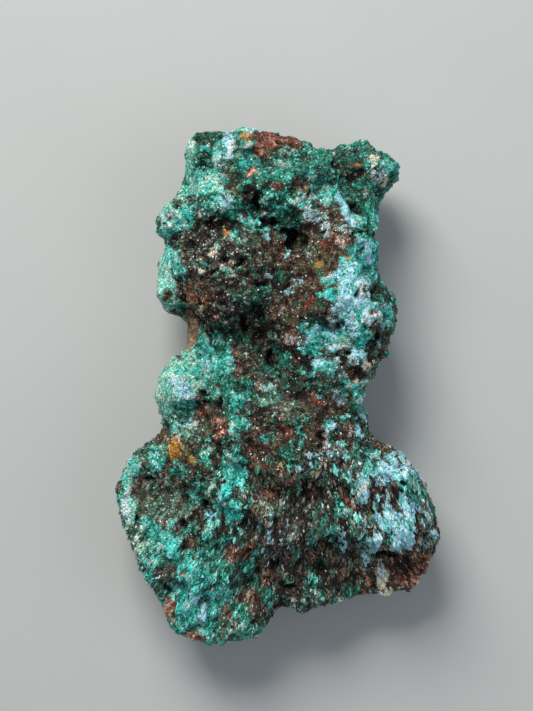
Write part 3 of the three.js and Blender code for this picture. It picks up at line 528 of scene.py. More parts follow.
        ("WHITE_CRUST", 5.4, 2.3, 0.39, 0.49), ("TEAL", 2.9, 1.4, 0.78, 0.49),
        ("PALE_BLUE", 3.3, 1.2, 0.29, 0.39), ("SPECKLED_TEAL", 6.2, 1.2, 0.87, 0.87),
        ("WHITE_GRAIN", 6.4, 1.5, 0.68, 0.58), ("TURQUOISE", 5.1, 1.1, 0.39, 0.39),
        ("DARK_BROWN", 7.8, 0.9, 0.68, 0.68), ("CREAM", 7.6, 0.4, 0.19, 0.29),
        ("BRIGHT_TURQUOISE", 7.3, -0.2, 0.49, 0.39),
        # the waist
        ("BROWN_CRUST", 0.4, 6.4, 1.55, 2.14), ("OLIVE", 1.3, 7.2, 0.97, 0.97),
        ("BROWN_CRUST", 1.1, 8.1, 0.97, 0.97), ("WHITE_CRUST", 1.6, 9.4, 0.87, 0.25),
        ("WHITE_GRAIN", 1.8, 9.9, 0.58, 0.49), ("DARK_GREEN", -2, 7.8, 0.58, 0.78),
        ("WHITE_GRAIN", 0.2, 7, 0.23, 0.23), ("WHITE_GRAIN", 0.1, 6, 0.23, 0.23),
        ("WHITE_GRAIN", -0.7, 5.3, 0.23, 0.19), ("WHITE_GRAIN", 1.3, 5.2, 0.23, 0.19),
        ("ROSE", 0.9, 4.4, 0.68, 0.68), ("GREY_MINT", -0.4, 4.9, 0.49, 0.49),
        ("DARK_CRUST", -2, 5.4, 1.17, 1.36), ("VOID", -3.3, 5.9, 0.29, 0.97),
        ("DARK_GREEN", -3.9, 4.4, 0.58, 0.58), ("RUST", 2.7, 7.7, 0.49, 0.49),
        ("RUST", 3.1, 8.1, 0.39, 0.39), ("OLIVE", 3.7, 7.7, 0.49, 0.68),
        ("DARK_GREEN", 3.4, 6.4, 0.78, 0.49), ("DARK_CRUST", -1.6, 4, 0.97, 1.17),
        ("DARK_GREEN", -0.8, 1.9, 0.68, 0.97, 25), ("DARK_GREEN", 1.6, 1.7, 1.75, 0.49),
        ("BROWN_CRUST", 2.3, 2.4, 1.17, 0.16), ("VOID", -0.8, 2.8, 0.33, 0.78, 20),
        ("VOID", -0.1, 1.3, 0.19, 0.39, 35), ("DARK_GREEN", 1.6, 0.5, 0.49, 0.58),
        ("MALACHITE", 0.6, 2.4, 0.68, 0.49), ("DARK_CRUST", -2.8, 2.7, 1.07, 1.36),
        ("BROWN_CRUST", -4, 2, 0.49, 1.36, 10), ("TURQUOISE", -6.4, 3.1, 1.84, 1.75),
        ("TEAL", -7.6, 3.5, 0.58, 0.78), ("MINT", -7.4, 4.4, 0.49, 0.78),
        ("SPECKLED_TEAL", -6.2, 4.2, 0.87, 0.58), ("WHITE_CRUST", -7, 4.1, 0.39, 0.29),
        ("PALE_BLUE", -7.1, 2.2, 0.39, 0.49), ("TEAL", -5.6, 3.5, 0.68, 0.68),
        ("TURQUOISE", -5.2, 1.7, 0.87, 0.78), ("ROSE", -4.9, 0.2, 0.78, 0.29),
        ("GREY_MINT", -1.2, 0.1, 1.46, 0.78), ("ROSE", -2, 0.3, 0.68, 0.58),
        ("WHITE_GRAIN", -1, 0.2, 0.78, 0.58), ("MINT", -1, 0, 0.25, 0.49),
        # the ball on the left edge
        ("WAXY_CRUST", -9.5, -0.2, 2.52, 3.11), ("MINT", -9.2, 1.9, 0.87, 0.78, 15),
        # the white crust streaks on the ball's upper left stand in for its sheen: painted highlight
        ("TURQUOISE", -8.4, -1.4, 0.58, 0.87), ("WHITE_CRUST", -9.6, 0.1, 1.36, 0.68, -35),
        ("PALE_BLUE", -9.2, -0.5, 1.36, 0.49, -35), ("WHITE_CRUST", -8.9, -0.8, 0.97, 0.25, -35),
        ("WHITE_CRUST", -10, 0.8, 0.58, 0.29, -35), ("MINT", -10.4, -1.2, 0.68, 0.39),
        ("WAXY_CRUST", -11.2, -1.6, 0.49, 1.17), ("MINT", -9.8, -2.4, 1.17, 0.97),
        ("GREY_MINT", -9.5, -3.3, 1.17, 0.78), ("TURQUOISE", -7.2, 1.3, 0.97, 0.68),
        ("TEAL", -5.9, 1.1, 0.78, 0.87), ("ROSE", -7.8, -1.2, 0.29, 0.49),
        ("DARK_CRUST", -7.1, -1.7, 0.68, 0.58), ("DARK_GREEN", -7.1, -0.6, 0.49, 0.39),
        ("WHITE_CRUST", -8.3, -3.4, 0.39, 0.49), ("TURQUOISE", -9.2, -3.8, 0.58, 0.49),
        ("TEAL", -10.4, -4, 0.78, 0.49), ("DARK_BROWN", -11.2, -4, 0.39, 0.39),
        # rusty knobs beside the ball
        ("BROWN_CRUST", -6.9, -3.3, 1.36, 1.36), ("RUST", -7.3, -2.7, 0.52, 0.49, 20),
        ("OLIVE", -6.9, -4, 0.58, 0.87), ("SALMON", -5.8, -3.4, 0.45, 0.49),
        ("RUST", -5.6, -4.2, 0.49, 0.68), ("BRICK", -5.8, -4.8, 0.39, 0.39),
        ("ORANGE", -5.1, -2.5, 0.19, 0.29), ("VOID", -5.9, -1.8, 0.29, 0.33),
        ("VOID", -6.4, -5, 0.19, 0.87, 8), ("GREEN_EARTH", -8.1, -4.9, 0.87, 0.87),
        ("GREY_MINT", -9.2, -4.5, 0.78, 0.58), ("BROWN_CRUST", -11.5, -4.9, 0.68, 0.58),
        ("RUST", -11.3, -5, 0.29, 0.19), ("OCHRE", -9.9, -6.2, 1.07, 0.97),
        ("ORANGE", -10.2, -6.1, 0.58, 0.49), ("SALMON", -9.5, -5.3, 0.39, 0.49),
        ("OCHRE", -8.2, -7.1, 0.97, 0.25, -35), ("ROSE", -10.4, -7.9, 0.39, 0.49),
        ("DARK_CRUST", -12.5, -5.1, 0.78, 0.39, 30), ("MINT", -7.1, -6.3, 0.58, 0.49),
        ("TEAL", -7, -7.1, 0.58, 0.49),
        # turquoise ridge that runs down
        ("TEAL", -3.8, -0.6, 0.97, 1.55), ("MALACHITE", -4.5, -0.9, 1.17, 2.14),
        ("TURQUOISE", -4, -1.6, 0.68, 0.87), ("TURQUOISE", -4, -3.9, 1.07, 1.17),
        ("MINT", -4.6, -4.1, 0.49, 0.78), ("SPECKLED_TEAL", -3.5, -5.2, 0.68, 0.87),
        ("TURQUOISE", -4.6, -7.5, 0.87, 1.65, -4), ("MINT", -4.8, -7.4, 0.39, 0.87),
        ("BRIGHT_TURQUOISE", -4.6, -8.5, 0.58, 0.68), ("TEAL", -3.5, -6.7, 0.49, 0.87),
        ("BRIGHT_TURQUOISE", -5.3, -10, 0.58, 0.97, -15),
        ("BRIGHT_TURQUOISE", -3.7, -9.1, 0.68, 0.68), ("MIXED_GROUND", -3.1, -11.2, 1.17, 1.36),
        ("WHITE_GRAIN", -3, -10.5, 0.58, 0.58), ("BRIGHT_TURQUOISE", -4.5, -12.1, 0.97, 0.78),
        ("TURQUOISE", -5.9, -11.4, 0.58, 0.87, -20), ("MINT", -6.6, -9.8, 0.39, 0.58),
        ("TURQUOISE", -6.5, -13.4, 0.58, 1.55, -18), ("PALE_BLUE", -6.8, -12.8, 0.25, 0.78, -15),
        ("OLIVE", -5.3, -13.8, 0.58, 0.49), ("TURQUOISE", -3.9, -13.9, 0.29, 0.49),
        # the basin
        ("GREEN_EARTH", -10.9, -11.1, 3.3, 2.72), ("GREY_MINT", -13.5, -7, 0.97, 0.97, 20),
        ("MINT", -11.8, -7, 0.78, 1.46), ("TURQUOISE", -11.6, -7.4, 0.39, 0.78),
        ("TURQUOISE", -14.1, -8, 0.68, 0.87, -20), ("VOID", -14.3, -6.9, 0.25, 0.19),
        ("DARK_CRUST", -12.8, -6.4, 0.39, 0.49), ("VOID", -12.6, -9.3, 0.29, 0.19),
        ("ROSE", -11.1, -8.6, 0.49, 0.39), ("TEAL", -9.8, -8.3, 0.87, 0.49),
        ("SPECKLED_TEAL", -8.4, -10.5, 0.87, 1.26), ("TURQUOISE", -8.4, -10.4, 0.49, 0.49),
        ("VOID", -7.2, -11.6, 0.39, 0.49, -30), ("VOID", -9.4, -13.2, 0.49, 0.33, -10),
        ("DARK_BROWN", -8, -12.6, 0.78, 0.49), ("MINT", -14.8, -10.9, 0.78, 2.72),
        ("WHITE_CRUST", -14.9, -11.1, 0.39, 1.94), ("TURQUOISE", -15.2, -9.3, 0.39, 0.87),
        ("ROSE", -14.3, -10.1, 0.23, 0.87), ("VOID", -14, -12.6, 0.23, 0.29),
        # below the basin
        ("GREY_MINT", -13.7, -14.6, 1.26, 1.36), ("TEAL", -11.9, -14.3, 0.87, 0.78),
        ("TEAL", -12.2, -13.6, 0.39, 0.39), ("ROSE", -10.8, -13.1, 0.97, 0.17, -4),
        ("TURQUOISE", -12.9, -13.4, 0.49, 0.68, 20), ("TURQUOISE", -10.3, -13.4, 0.39, 0.29),
        ("GREY_MINT", -10.7, -14.3, 0.68, 0.58), ("TURQUOISE", -10.5, -15.4, 1.07, 1.17, 20),
        ("BRIGHT_TURQUOISE", -10.5, -15.7, 0.68, 0.78, 20), ("TEAL", -8.5, -13.8, 0.68, 0.49),
        ("VOID", -8.9, -15.4, 0.39, 0.49), ("BROWN_CRUST", -8.4, -15.2, 0.68, 0.49, 20),
        ("GREY_MINT", -13.7, -16.1, 0.97, 1.36), ("TURQUOISE", -12.5, -17.1, 0.78, 0.78),
        ("TEAL", -6.9, -16.2, 1.36, 1.36), ("DARK_GREEN", -7.3, -15.4, 0.58, 0.39),
        ("GREEN_EARTH", -10.6, -18.1, 1.26, 0.97), ("GREY_MINT", -12, -19.6, 0.87, 1.75),
        ("TURQUOISE", -12.1, -18.8, 0.29, 0.68), ("BRIGHT_TURQUOISE", -8.6, -18, 1.17, 1.07, 10),
        ("SALMON", -9.1, -17.9, 0.39, 0.29), ("TURQUOISE", -8.8, -20.4, 1.46, 2.14),
        ("BRIGHT_TURQUOISE", -8, -19.8, 0.49, 1.17, 12), ("PALE_BLUE", -7.9, -21.2, 0.29, 0.78, 10),
        ("BRIGHT_TURQUOISE", -7.2, -18.4, 0.58, 0.78, 15),
        ("BRIGHT_TURQUOISE", -8.4, -22.5, 0.58, 0.68), ("TURQUOISE", -9.8, -19.2, 0.39, 0.97, 8),
        ("BRIGHT_TURQUOISE", -9.2, -21.4, 0.68, 1.75, 5), ("PALE_BLUE", -8.7, -20.7, 0.58, 0.87, 5),
        ("TEAL", -7.1, -21.2, 0.97, 0.58, 20), ("TURQUOISE", -5.7, -20.2, 1.55, 0.68, 20),
        ("BRIGHT_TURQUOISE", -6.2, -20.1, 0.87, 0.39, 20), ("MINT", -4.5, -20.6, 0.49, 0.49),
        ("TURQUOISE", -7, -22.1, 1.17, 1.07), ("BRIGHT_TURQUOISE", -6.4, -21.6, 0.39, 0.78, -20),
        ("PALE_BLUE", -7.3, -21.9, 0.29, 0.78, -10), ("VOID", -10.7, -19.8, 0.29, 0.23),
        ("SALMON", -10.7, -21.6, 0.49, 1.26, 12), ("TURQUOISE", -9.5, -22.9, 0.58, 0.87),
        ("SALMON", -8.4, -24.3, 0.97, 0.39), ("MINT", -10.1, -23.5, 0.29, 0.58, 12),
        ("GREY_MINT", -5.1, -23.3, 2.14, 1.07), ("TEAL", -6.5, -23.4, 0.78, 0.68),
        ("TURQUOISE", -3.6, -23.5, 0.49, 0.39), ("BROWN_CRUST", -5.1, -21.9, 0.39, 0.68),
        ("MINT", -7.3, -23.9, 0.49, 0.39), ("DARK_GREEN", -3.3, -18.5, 1.75, 1.17),
        ("TEAL", -2.6, -18.1, 0.58, 0.49), ("BRICK_BROWN", -4, -16.2, 1.07, 0.78),
        ("ROSE", -4.5, -16.9, 0.39, 0.39), ("WHITE_GRAIN", -3.1, -16.7, 0.19, 0.23),
        ("BROWN_CRUST", -2.8, -20.8, 1.36, 1.07), ("DARK_CRUST", -1.6, -22.1, 1.17, 0.97),
        # the middle
        ("GREEN_EARTH", 0.1, -2.1, 2.72, 1.36), ("DARK_BROWN", 2.6, -1.2, 1.17, 0.78),
        ("BROWN_CRUST", 4.5, -2.3, 1.94, 1.17), ("WHITE_GRAIN", 5.8, -1.2, 0.78, 0.78),
        ("WHITE_GRAIN", 3.5, -0.9, 0.21, 0.19), ("TURQUOISE", 4, -0.8, 0.19, 0.19),
        ("GREY_MINT", -1.6, -1.6, 1.17, 0.78), ("RUST", 3.8, -1.6, 0.39, 0.58),
        ("TURQUOISE", 7.7, -1.2, 0.58, 0.68), ("TURQUOISE", 8.1, -2, 0.49, 0.97, 18),
        ("TEAL", 7.3, -0.6, 0.49, 0.49), ("PALE_BLUE", 8.2, -3, 0.39, 0.49),
        ("TURQUOISE", 6.6, -2.9, 0.29, 0.29), ("BROWN_CRUST", 3.6, -4.5, 0.97, 1.36),
        ("VOID", 4.1, -5, 0.29, 0.39), ("TURQUOISE", 4.6, -4, 0.39, 0.39),
        ("PALE_BLUE", 5.2, -4, 0.39, 0.29), ("WHITE_GRAIN", 4.6, -4.7, 0.29, 0.49),
        ("TEAL", 2.2, -4.6, 0.29, 0.78), ("MINT", 2.2, -5.8, 0.29, 0.29),
        ("MINT", 1.5, -5.6, 0.19, 0.19), ("RUST", 0.6, -4.4, 0.58, 0.58),
        ("SALMON", 0.7, -4.5, 0.19, 0.19), ("DARK_CRUST", -1.3, -3.5, 1.17, 1.17),
        ("WHITE_GRAIN", 0.2, -2.7, 0.29, 0.29), ("BROWN_CRUST", -2.4, -5.5, 1.07, 1.94),
        ("BROWN_CRUST", -1, -5.9, 1.17, 0.97), ("MALACHITE", 0.4, -6.4, 0.58, 0.78),
        ("TURQUOISE", -1.2, -5, 0.49, 0.39), ("RUST", -1.6, -7.7, 0.97, 0.49),
        ("ORANGE", -1.8, -7.7, 0.16, 0.14), ("PALE_BLUE", 3.2, -6.7, 0.39, 0.39),
        ("WHITE_GRAIN", 3.6, -6.4, 0.58, 0.49), ("GREY_STREAK", 5, -6.8, 1.07, 1.55),
        ("PALE_BLUE", 1.9, -8.3, 0.29, 0.39), ("WHITE_GRAIN", 3, -8, 0.68, 0.58),
        ("TURQUOISE", 6.3, -5.5, 0.39, 0.39), ("TURQUOISE", 6.6, -6.7, 0.29, 0.29),
        ("WHITE_GRAIN", 6.3, -6.2, 0.39, 0.29), ("BROWN_CRUST", 6.6, -4.3, 0.78, 0.87),
        ("ROSE", 6.9, -4.5, 0.29, 0.58, 10), ("PALE_BLUE", 7.7, -4.4, 0.39, 0.49),
        ("TEAL", 8.6, -6.1, 0.68, 0.68, -30), ("DARK_GREEN", 8.4, -5.8, 0.49, 0.39),
        ("TEAL", 9.7, -7.2, 0.87, 0.87, -40), ("MINT", 9.6, -7.1, 0.68, 0.29, -45),
        ("ROSE", 10.6, -6.2, 0.58, 0.39, -40), ("BROWN_CRUST", 10.1, -5.7, 0.87, 0.49, -40),
        ("PALE_BLUE", 11.7, -7.4, 1.07, 0.39, -42), ("TURQUOISE", 5.4, -8.3, 0.43, 0.49),
        ("TURQUOISE", 6.6, -8.7, 0.33, 0.29), ("DARK_BROWN", 6.5, -7.6, 0.78, 0.58),
        ("BROWN_CRUST", 0.5, -8.9, 1.55, 0.97), ("OLIVE", -0.4, -8.2, 0.78, 0.49),
        ("RUST", -0.8, -10.4, 0.68, 0.39, 20), ("GREEN_EARTH", -1.2, -11.7, 1.75, 0.97),
        ("DARK_CRUST", 3.8, -9.9, 1.94, 1.36), ("DARK_BROWN", 3.4, -10.3, 1.36, 0.97),
        ("VOID", 2.7, -10.4, 0.25, 0.87, 8), ("DARK_CRUST", 4, -12.5, 2.33, 1.17),
        ("TURQUOISE", -2.7, -11.3, 0.39, 0.49),
        # the blue dome
        ("BLUE_LACE", 10.9, -10.5, 3.69, 3.69, -20), ("DARK_BROWN", 9.6, -10.5, 0.87, 0.49, -20),
        ("BROWN_CRUST", 11.4, -10.3, 0.68, 0.49, 30), ("BROWN_CRUST", 12.9, -11.8, 0.29, 0.58, 25),
        ("PALE_BLUE", 9.8, -8.2, 1.75, 0.49, -14), ("PALE_BLUE", 11.8, -8.6, 1.26, 0.78, -40),
        ("PALE_BLUE", 8.3, -9.1, 0.68, 0.68, 20), ("BROWN_CRUST", 9.3, -8.9, 0.49, 0.29, -30),
        ("BROWN_CRUST", 10.9, -9.2, 0.39, 0.23, -30), ("WHITE_CRUST", 8.1, -9.8, 0.49, 0.97),
        ("TURQUOISE", 8.9, -7.8, 0.78, 0.68), ("TURQUOISE", 7.1, -9.5, 0.39, 0.58, 10),
        ("TURQUOISE", 13.2, -9.7, 0.78, 1.65, 25), ("TEAL", 13.6, -10.8, 0.49, 1.17, 25),
        ("PALE_BLUE", 12.3, -11.4, 0.43, 1.36, 20), ("PALE_BLUE", 9.7, -11.1, 0.49, 0.78, 30),
        ("DARK_BROWN", 9.3, -10, 0.49, 0.39, 20), ("DARK_BROWN", 10.3, -11.4, 0.49, 0.49),
        ("DARK_BROWN", 11.4, -11.6, 0.35, 0.97, 25), ("DARK_BROWN", 8.9, -11.9, 0.58, 1.17, -8),
        ("DARK_BROWN", 10.8, -9.8, 0.29, 0.49, 30), ("DARK_BROWN", 13.6, -12.6, 0.39, 0.49, 30),
        ("VOID", 12.3, -9.2, 0.16, 0.25), ("VOID", 12, -10.1, 0.16, 0.16),
        ("ROSE", 7.5, -11.3, 0.49, 0.87), ("TURQUOISE", 9.5, -11.6, 0.23, 0.49),
        ("PALE_BLUE", 8, -11.1, 0.39, 0.78), ("TURQUOISE", 6, -11.8, 0.58, 1.26, 15),
        ("MINT", 6.5, -12.2, 0.39, 0.58, 15), ("BRICK_BROWN", 6.8, -11.1, 0.29, 0.58),
        ("MINT", 7.7, -13, 0.52, 0.39), ("TEAL", 5.7, -11.1, 0.39, 0.78, 10),
        ("DARK_BROWN", 6.5, -10, 0.58, 0.49), ("PALE_BLUE", 11.8, -14.6, 1.36, 1.46, 25),
        ("PALE_BLUE", 10.8, -13.2, 0.78, 0.87, 20), ("WHITE_CRUST", 12, -15.8, 1.17, 0.33, -8),
        ("DARK_BROWN", 13.4, -14.2, 0.49, 0.87, 25), ("PALE_BLUE", 12.9, -13.2, 0.39, 0.87, 30),
        ("DARK_GREEN", 14.9, -12, 0.39, 1.75, 22), ("WHITE_GRAIN", 14.1, -12, 0.29, 0.58, 20),
        ("PALE_BLUE", 15, -14.6, 0.49, 0.49), ("WHITE_GRAIN", 14.3, -15.1, 0.58, 0.49),
        ("GREEN_EARTH", 9.1, -13.5, 0.68, 0.78), ("DARK_GREEN", 7.4, -14.6, 0.68, 0.97),
        ("PALE_BLUE", 6.2, -15.2, 0.31, 1.07, 17), ("TURQUOISE", 5.1, -14.1, 0.49, 0.68, 15),
        ("MINT", 5.4, -13.9, 0.29, 0.49, 15), ("PALE_BLUE", 9.3, -15, 0.49, 1.17, 15),
        ("WHITE_GRAIN", 8.9, -14.1, 0.49, 0.58), ("TURQUOISE", 8.2, -16.2, 0.29, 0.39),
        ("PALE_BLUE", 8.5, -16.6, 0.49, 0.43, 25), ("TEAL", 8.4, -15, 0.29, 0.78, 15),
        ("DARK_GREEN", 10.3, -15, 0.29, 0.78, 15),
        # the streaked foot
        ("GREY_STREAK", 0.1, -14.8, 2.14, 1.75), ("WHITE_GRAIN", -0.3, -15.2, 0.58, 0.87, 8),
        ("RUST", -2.6, -15.5, 0.58, 0.49), ("TURQUOISE", 3.4, -15, 0.33, 0.49),
        ("BROWN_CRUST", 4.5, -16, 1.17, 0.49), ("DARK_CRUST", 1.1, -18.3, 2.52, 1.55),
        ("BROWN_CRUST", -1, -18.1, 0.97, 1.36), ("VOID", 4, -17.7, 0.49, 0.58),
        ("VOID", 0.9, -19.5, 0.29, 0.58), ("VOID", -0.6, -17.5, 0.29, 0.49),
        ("DARK_GREEN", 3.8, -19.6, 1.07, 1.26), ("TEAL", 3.5, -19.1, 0.49, 0.78, 10),
        ("TURQUOISE", 3.2, -18.5, 0.49, 0.25), ("MALACHITE", 7.1, -19.8, 0.97, 0.58, -10),
        ("BROWN_CRUST", 6, -18.1, 1.17, 0.78), ("GREY_MINT", 2, -21.3, 0.97, 0.68, 10),
        ("TURQUOISE", 4.2, -20.5, 0.39, 0.58, 15), ("WHITE_GRAIN", 3.8, -20, 0.29, 0.58, 15),
        ("WHITE_GRAIN", 7.4, -18.6, 0.21, 0.49, 15), ("VOID", 10.8, -16.4, 1.07, 0.39, -4),
        ("DARK_BROWN", 12.7, -16.5, 1.55, 0.39), ("BRICK_BROWN", 13.1, -18.3, 2.33, 1.94),
        ("BRICK", 12.6, -18.6, 0.87, 0.58, 25), ("BRICK", 13.8, -18.2, 0.97, 1.07),
        ("SALMON", 13, -18, 0.49, 0.29, 25), ("SALMON", 14.2, -18.9, 0.39, 0.29, 25),
        ("RUST", 12.5, -17.4, 0.49, 0.39, 20), ("BROWN_CRUST", 11.6, -19.8, 0.97, 0.78),
        ("CREAM", 10.1, -18.6, 0.58, 1.07, 12), ("WHITE_CRUST", 9.8, -18.4, 0.39, 0.68, 10),
        ("CREAM", 10.8, -20.1, 0.39, 0.49, 25), ("BRICK", 11.2, -19.1, 0.29, 0.29),
        ("DARK_BROWN", 9.2, -19.8, 0.49, 0.58),
    )
]


VIEW_AXIS = (-1.18, 2.96)  # where the patch map was drawn from: this place in mm,
EYE_HEIGHT = 163.0  # this far above its level,
MAP_LEVEL = 6.8  # which is where the stone is widest
BASIN = (-10.7, -10.4)  # the middle, in mm, of the hollow in the foot where no fibres grow
FIBRE_MIDDLE = 2.5  # the x in mm from which the fibres of the foot fan out to both sides
FIBRE_GRIP = 0.75  # how far the fibres turn a grain from standing upright
FIBRE_STRETCH = 1.5  # how much longer a grain is along the fibres
FIBRE_UNEVEN = 0.5  # how much more unevenly the fibres catch the light
LOOSE_SHARE = 0.12  # the share of the grains whose mineral does not follow the level of growth


@dataclass
class MineralMap:
    """Where each growth lies on the stone: patches on the upper face, and a mixed ground below."""

    patches: list[Patch]
    ragged: float = 0.42  # how far the patches' edges wander, in mm
    upper_face: float = 5.2  # above this height the patches are in full force, in mm
    under_side: float = 1.6  # below this height only the broken ground is left, in mm
    fringe: float = 1.6  # how far these heights wander, in mm
    ground_size: float = 5.0  # the size of the patches of the broken ground, in mm

    def wander(self, points: np.ndarray) -> np.ndarray:
        """Finds the patch map's place over each point, and shifts it so that edges are ragged.

        Args:
            points: places in mm.

        Returns:
            The x and y on the map of each place.
        """
        middle = np.array(VIEW_AXIS)
        nearer = EYE_HEIGHT / (EYE_HEIGHT - (points[:, 2:] - MAP_LEVEL))
        shift = np.stack([swell(points, 1.0, seed, 4) for seed in (40, 47)], axis=1)
        return middle + (points[:, :2] - middle) * nearer + self.ragged * shift

    def broken_ground(self, points: np.ndarray) -> tuple[np.ndarray, np.ndarray]:
        """The growth of the sides and the back, which is in loose drifts.

        Args:
            points: places in mm.

        Returns:
            The mineral shares and the traits at each place.
        """
        drifts = [
            (Growth.BROWN_CRUST, 61, -0.1),
            (Growth.DARK_CRUST, 62, 0.1),
            (Growth.MALACHITE, 63, 0.1),
            (Growth.TEAL, 64, 0.3),
            (Growth.GREEN_EARTH, 65, 0.25),
            (Growth.RUST, 66, 0.6),
            (Growth.PALE_BLUE, 67, 0.65),
            (Growth.MINT, 68, 0.5),
        ]
        shares = np.tile(Growth.MIXED_GROUND.shares, (len(points), 1))
        traits = np.tile(Growth.MIXED_GROUND.traits, (len(points), 1))
        for growth, seed, level in drifts:
            drift = swell(points, self.ground_size, seed, 3)
            cover = smooth_step(level, level + 0.25, drift)[:, None]
            shares += cover * (growth.shares - shares)
            traits += cover * (growth.traits - traits)
        return shares, traits

    def at(self, points: np.ndarray) -> tuple[np.ndarray, np.ndarray]:
        """What grows at each place.

        Args:
            points: places in mm.

        Returns:
            The mineral shares, and the rise, lumpiness and graininess at each place.
        """
        shares, traits = self.broken_ground(points)
        xy = self.wander(points)
        jitter = swell(points, 2.4, 55, 2)
        wandering = points[:, 2] + self.fringe * jitter
        height = smooth_step(self.under_side, self.upper_face, wandering)
        for patch in self.patches:
            cover = patch.cover(xy) * height
            near = cover > 0.001
            amount = cover[near][:, None]
            shares[near] += amount * (patch.growth.shares - shares[near])
            traits[near] += amount * (patch.growth.traits - traits[near])
        return shares, traits


def growth_level(points: np.ndarray) -> np.ndarray:
    """How high the crust has grown at each place, evenly spread from 0 to 1.

    It picks the mineral and also lifts the surface, so that the pale minerals crown the small
    tops and the dark ones fill the gaps.

    Args:
        points: places in mm.

    Returns:
        A value from 0 to 1 for each place.
    """
    stretched = fibre_place(points)
    first, _, knob = knobs(stretched, 0.36, 31)
    _, _, speck = knobs(stretched, 0.2, 37)
    mixed = (
        0.6 * swell(stretched, 0.75, 71, 3)
        + 0.85 * (knob - 0.5)
        + 0.55 * (speck - 0.5)
        + 0.4 * (0.5 - first)
    )
    return 1.0 / (1.0 + np.exp(-4.0 * mixed))


def fibre_place(points: np.ndarray) -> np.ndarray:
    """Places squeezed along the fibres of the foot, so that patterns there come out streaked.

    Args:
        points: places in mm.

    Returns:
        The squeezed places in mm.
    """
    y = points[:, 1]
    fan = 1.4 + 0.06 * np.clip(y + 14.0, -8.0, 6.0)
    squeezed = points.copy()
    squeezed[:, 0] += smooth_step(-1.0, -10.0, y) * (points[:, 0] - FIBRE_MIDDLE) * (fan - 1.0)
    t = np.clip((-2.0 - y) / 12.0, 0.0, 1.0)
    squeezed[:, 1] += 0.58 * (12.0 * (t**3 - 0.5 * t**4) + np.maximum(-14.0 - y, 0.0))
    return squeezed


def pick(shares: np.ndarray, draw: np.ndarray) -> np.ndarray:
    """Picks one mineral for each place.

    Args:
        shares: the mineral shares, one row for each place.
        draw: a number from 0 to 1 for each place.

    Returns:
        The picked mineral's place in MINERALS.
    """
    steps = np.cumsum(shares, axis=1)
    return np.minimum((steps < draw[:, None] * steps[:, -1:]).sum(axis=1), len(MINERALS) - 1)


def tints(minerals: np.ndarray, tone: np.ndarray) -> np.ndarray:
    """The colour of each place or grain, from the tints of its mineral.

    Args:
        minerals: each one's place in MINERALS.
        tone: from 0 for the darkest tint to 1 for the lightest.

    Returns:
        Linear red, green and blue, one row for each.
    """
    table = np.array([[linear(code) for code in mineral.value] for mineral in MINERALS])
    spot = np.clip(tone, 0.0, 1.0) * (table.shape[1] - 1)
    low = np.minimum(spot.astype(int), table.shape[1] - 2)
    part = (spot - low)[:, None]
    return table[minerals, low] * (1 - part) + table[minerals, low + 1] * part


def returned_light(shares: np.ndarray) -> np.ndarray:
    """How much light a growth gives back, from 0 if it is black to 1 if it is white.

    Args:
        shares: the mineral shares, one row for each place.

    Returns:
        One number for each place.
    """
    usual = np.array([linear(mineral.value[2]) for mineral in MINERALS])
    return shares @ usual @ np.array([0.2126, 0.7152, 0.0722])


def triangle_mesh(name: str, points: np.ndarray, faces: np.ndarray) -> bpy.types.Object:
    """Makes a mesh object from arrays and links it to the scene.

    Args:
        name: the piece's name.
        points: vertex places in mm.
        faces: vertex numbers, three for each face.

    Returns:
        The new object.
    """
    mesh = bpy.data.meshes.new(name)
    mesh.vertices.add(len(points))
    mesh.vertices.foreach_set("co", (points * MM).astype(np.float32).ravel())
    mesh.loops.add(faces.size)
    mesh.loops.foreach_set("vertex_index", faces.astype(np.int32).ravel())
    mesh.polygons.add(len(faces))
    mesh.polygons.foreach_set("loop_start", np.arange(0, faces.size, 3, dtype=np.int32))
    mesh.update(calc_edges=True)
    mesh.validate()
    piece = bpy.data.objects.new(name, mesh)
    bpy.context.scene.collection.objects.link(piece)
    return piece


def paint(
    piece: bpy.types.Object, colours: np.ndarray, flecks: np.ndarray, gloss: np.ndarray
) -> None:
    """Stores the mineral colours and the gloss of each vertex.

    Args:
        piece: the object.
        colours: linear red, green and blue for each vertex.
        flecks: the colour of the fine flecks in it, in the same form.
        gloss: from 0, dull, to 1, glassy, for each vertex.
    """
    for name, values in (("tint", colours), ("fleck", flecks)):
        stored = piece.data.attributes.new(name, "FLOAT_COLOR", "POINT")
        full = np.concatenate([values, np.ones((len(values), 1))], axis=1)
        stored.data.foreach_set("color", full.astype(np.float32).ravel())
    shine = piece.data.attributes.new("gloss", "FLOAT", "POINT")
    shine.data.foreach_set("value", gloss.astype(np.float32))


def vertex_normals(points: np.ndarray, faces: np.ndarray) -> np.ndarray:
    """The outward direction at each vertex of a closed mesh.

    Args:
        points: vertex places.
        faces: vertex numbers, three for each face.

    Returns:
        One unit vector for each vertex.
    """
    a, b, c = (points[faces[:, k]] for k in range(3))
    facing = np.cross(b - a, c - a)
    total = np.zeros_like(points)
    for k in range(3):
        np.add.at(total, faces[:, k], facing)
    return total / np.maximum(np.linalg.norm(total, axis=1, keepdims=True), 1e-12)


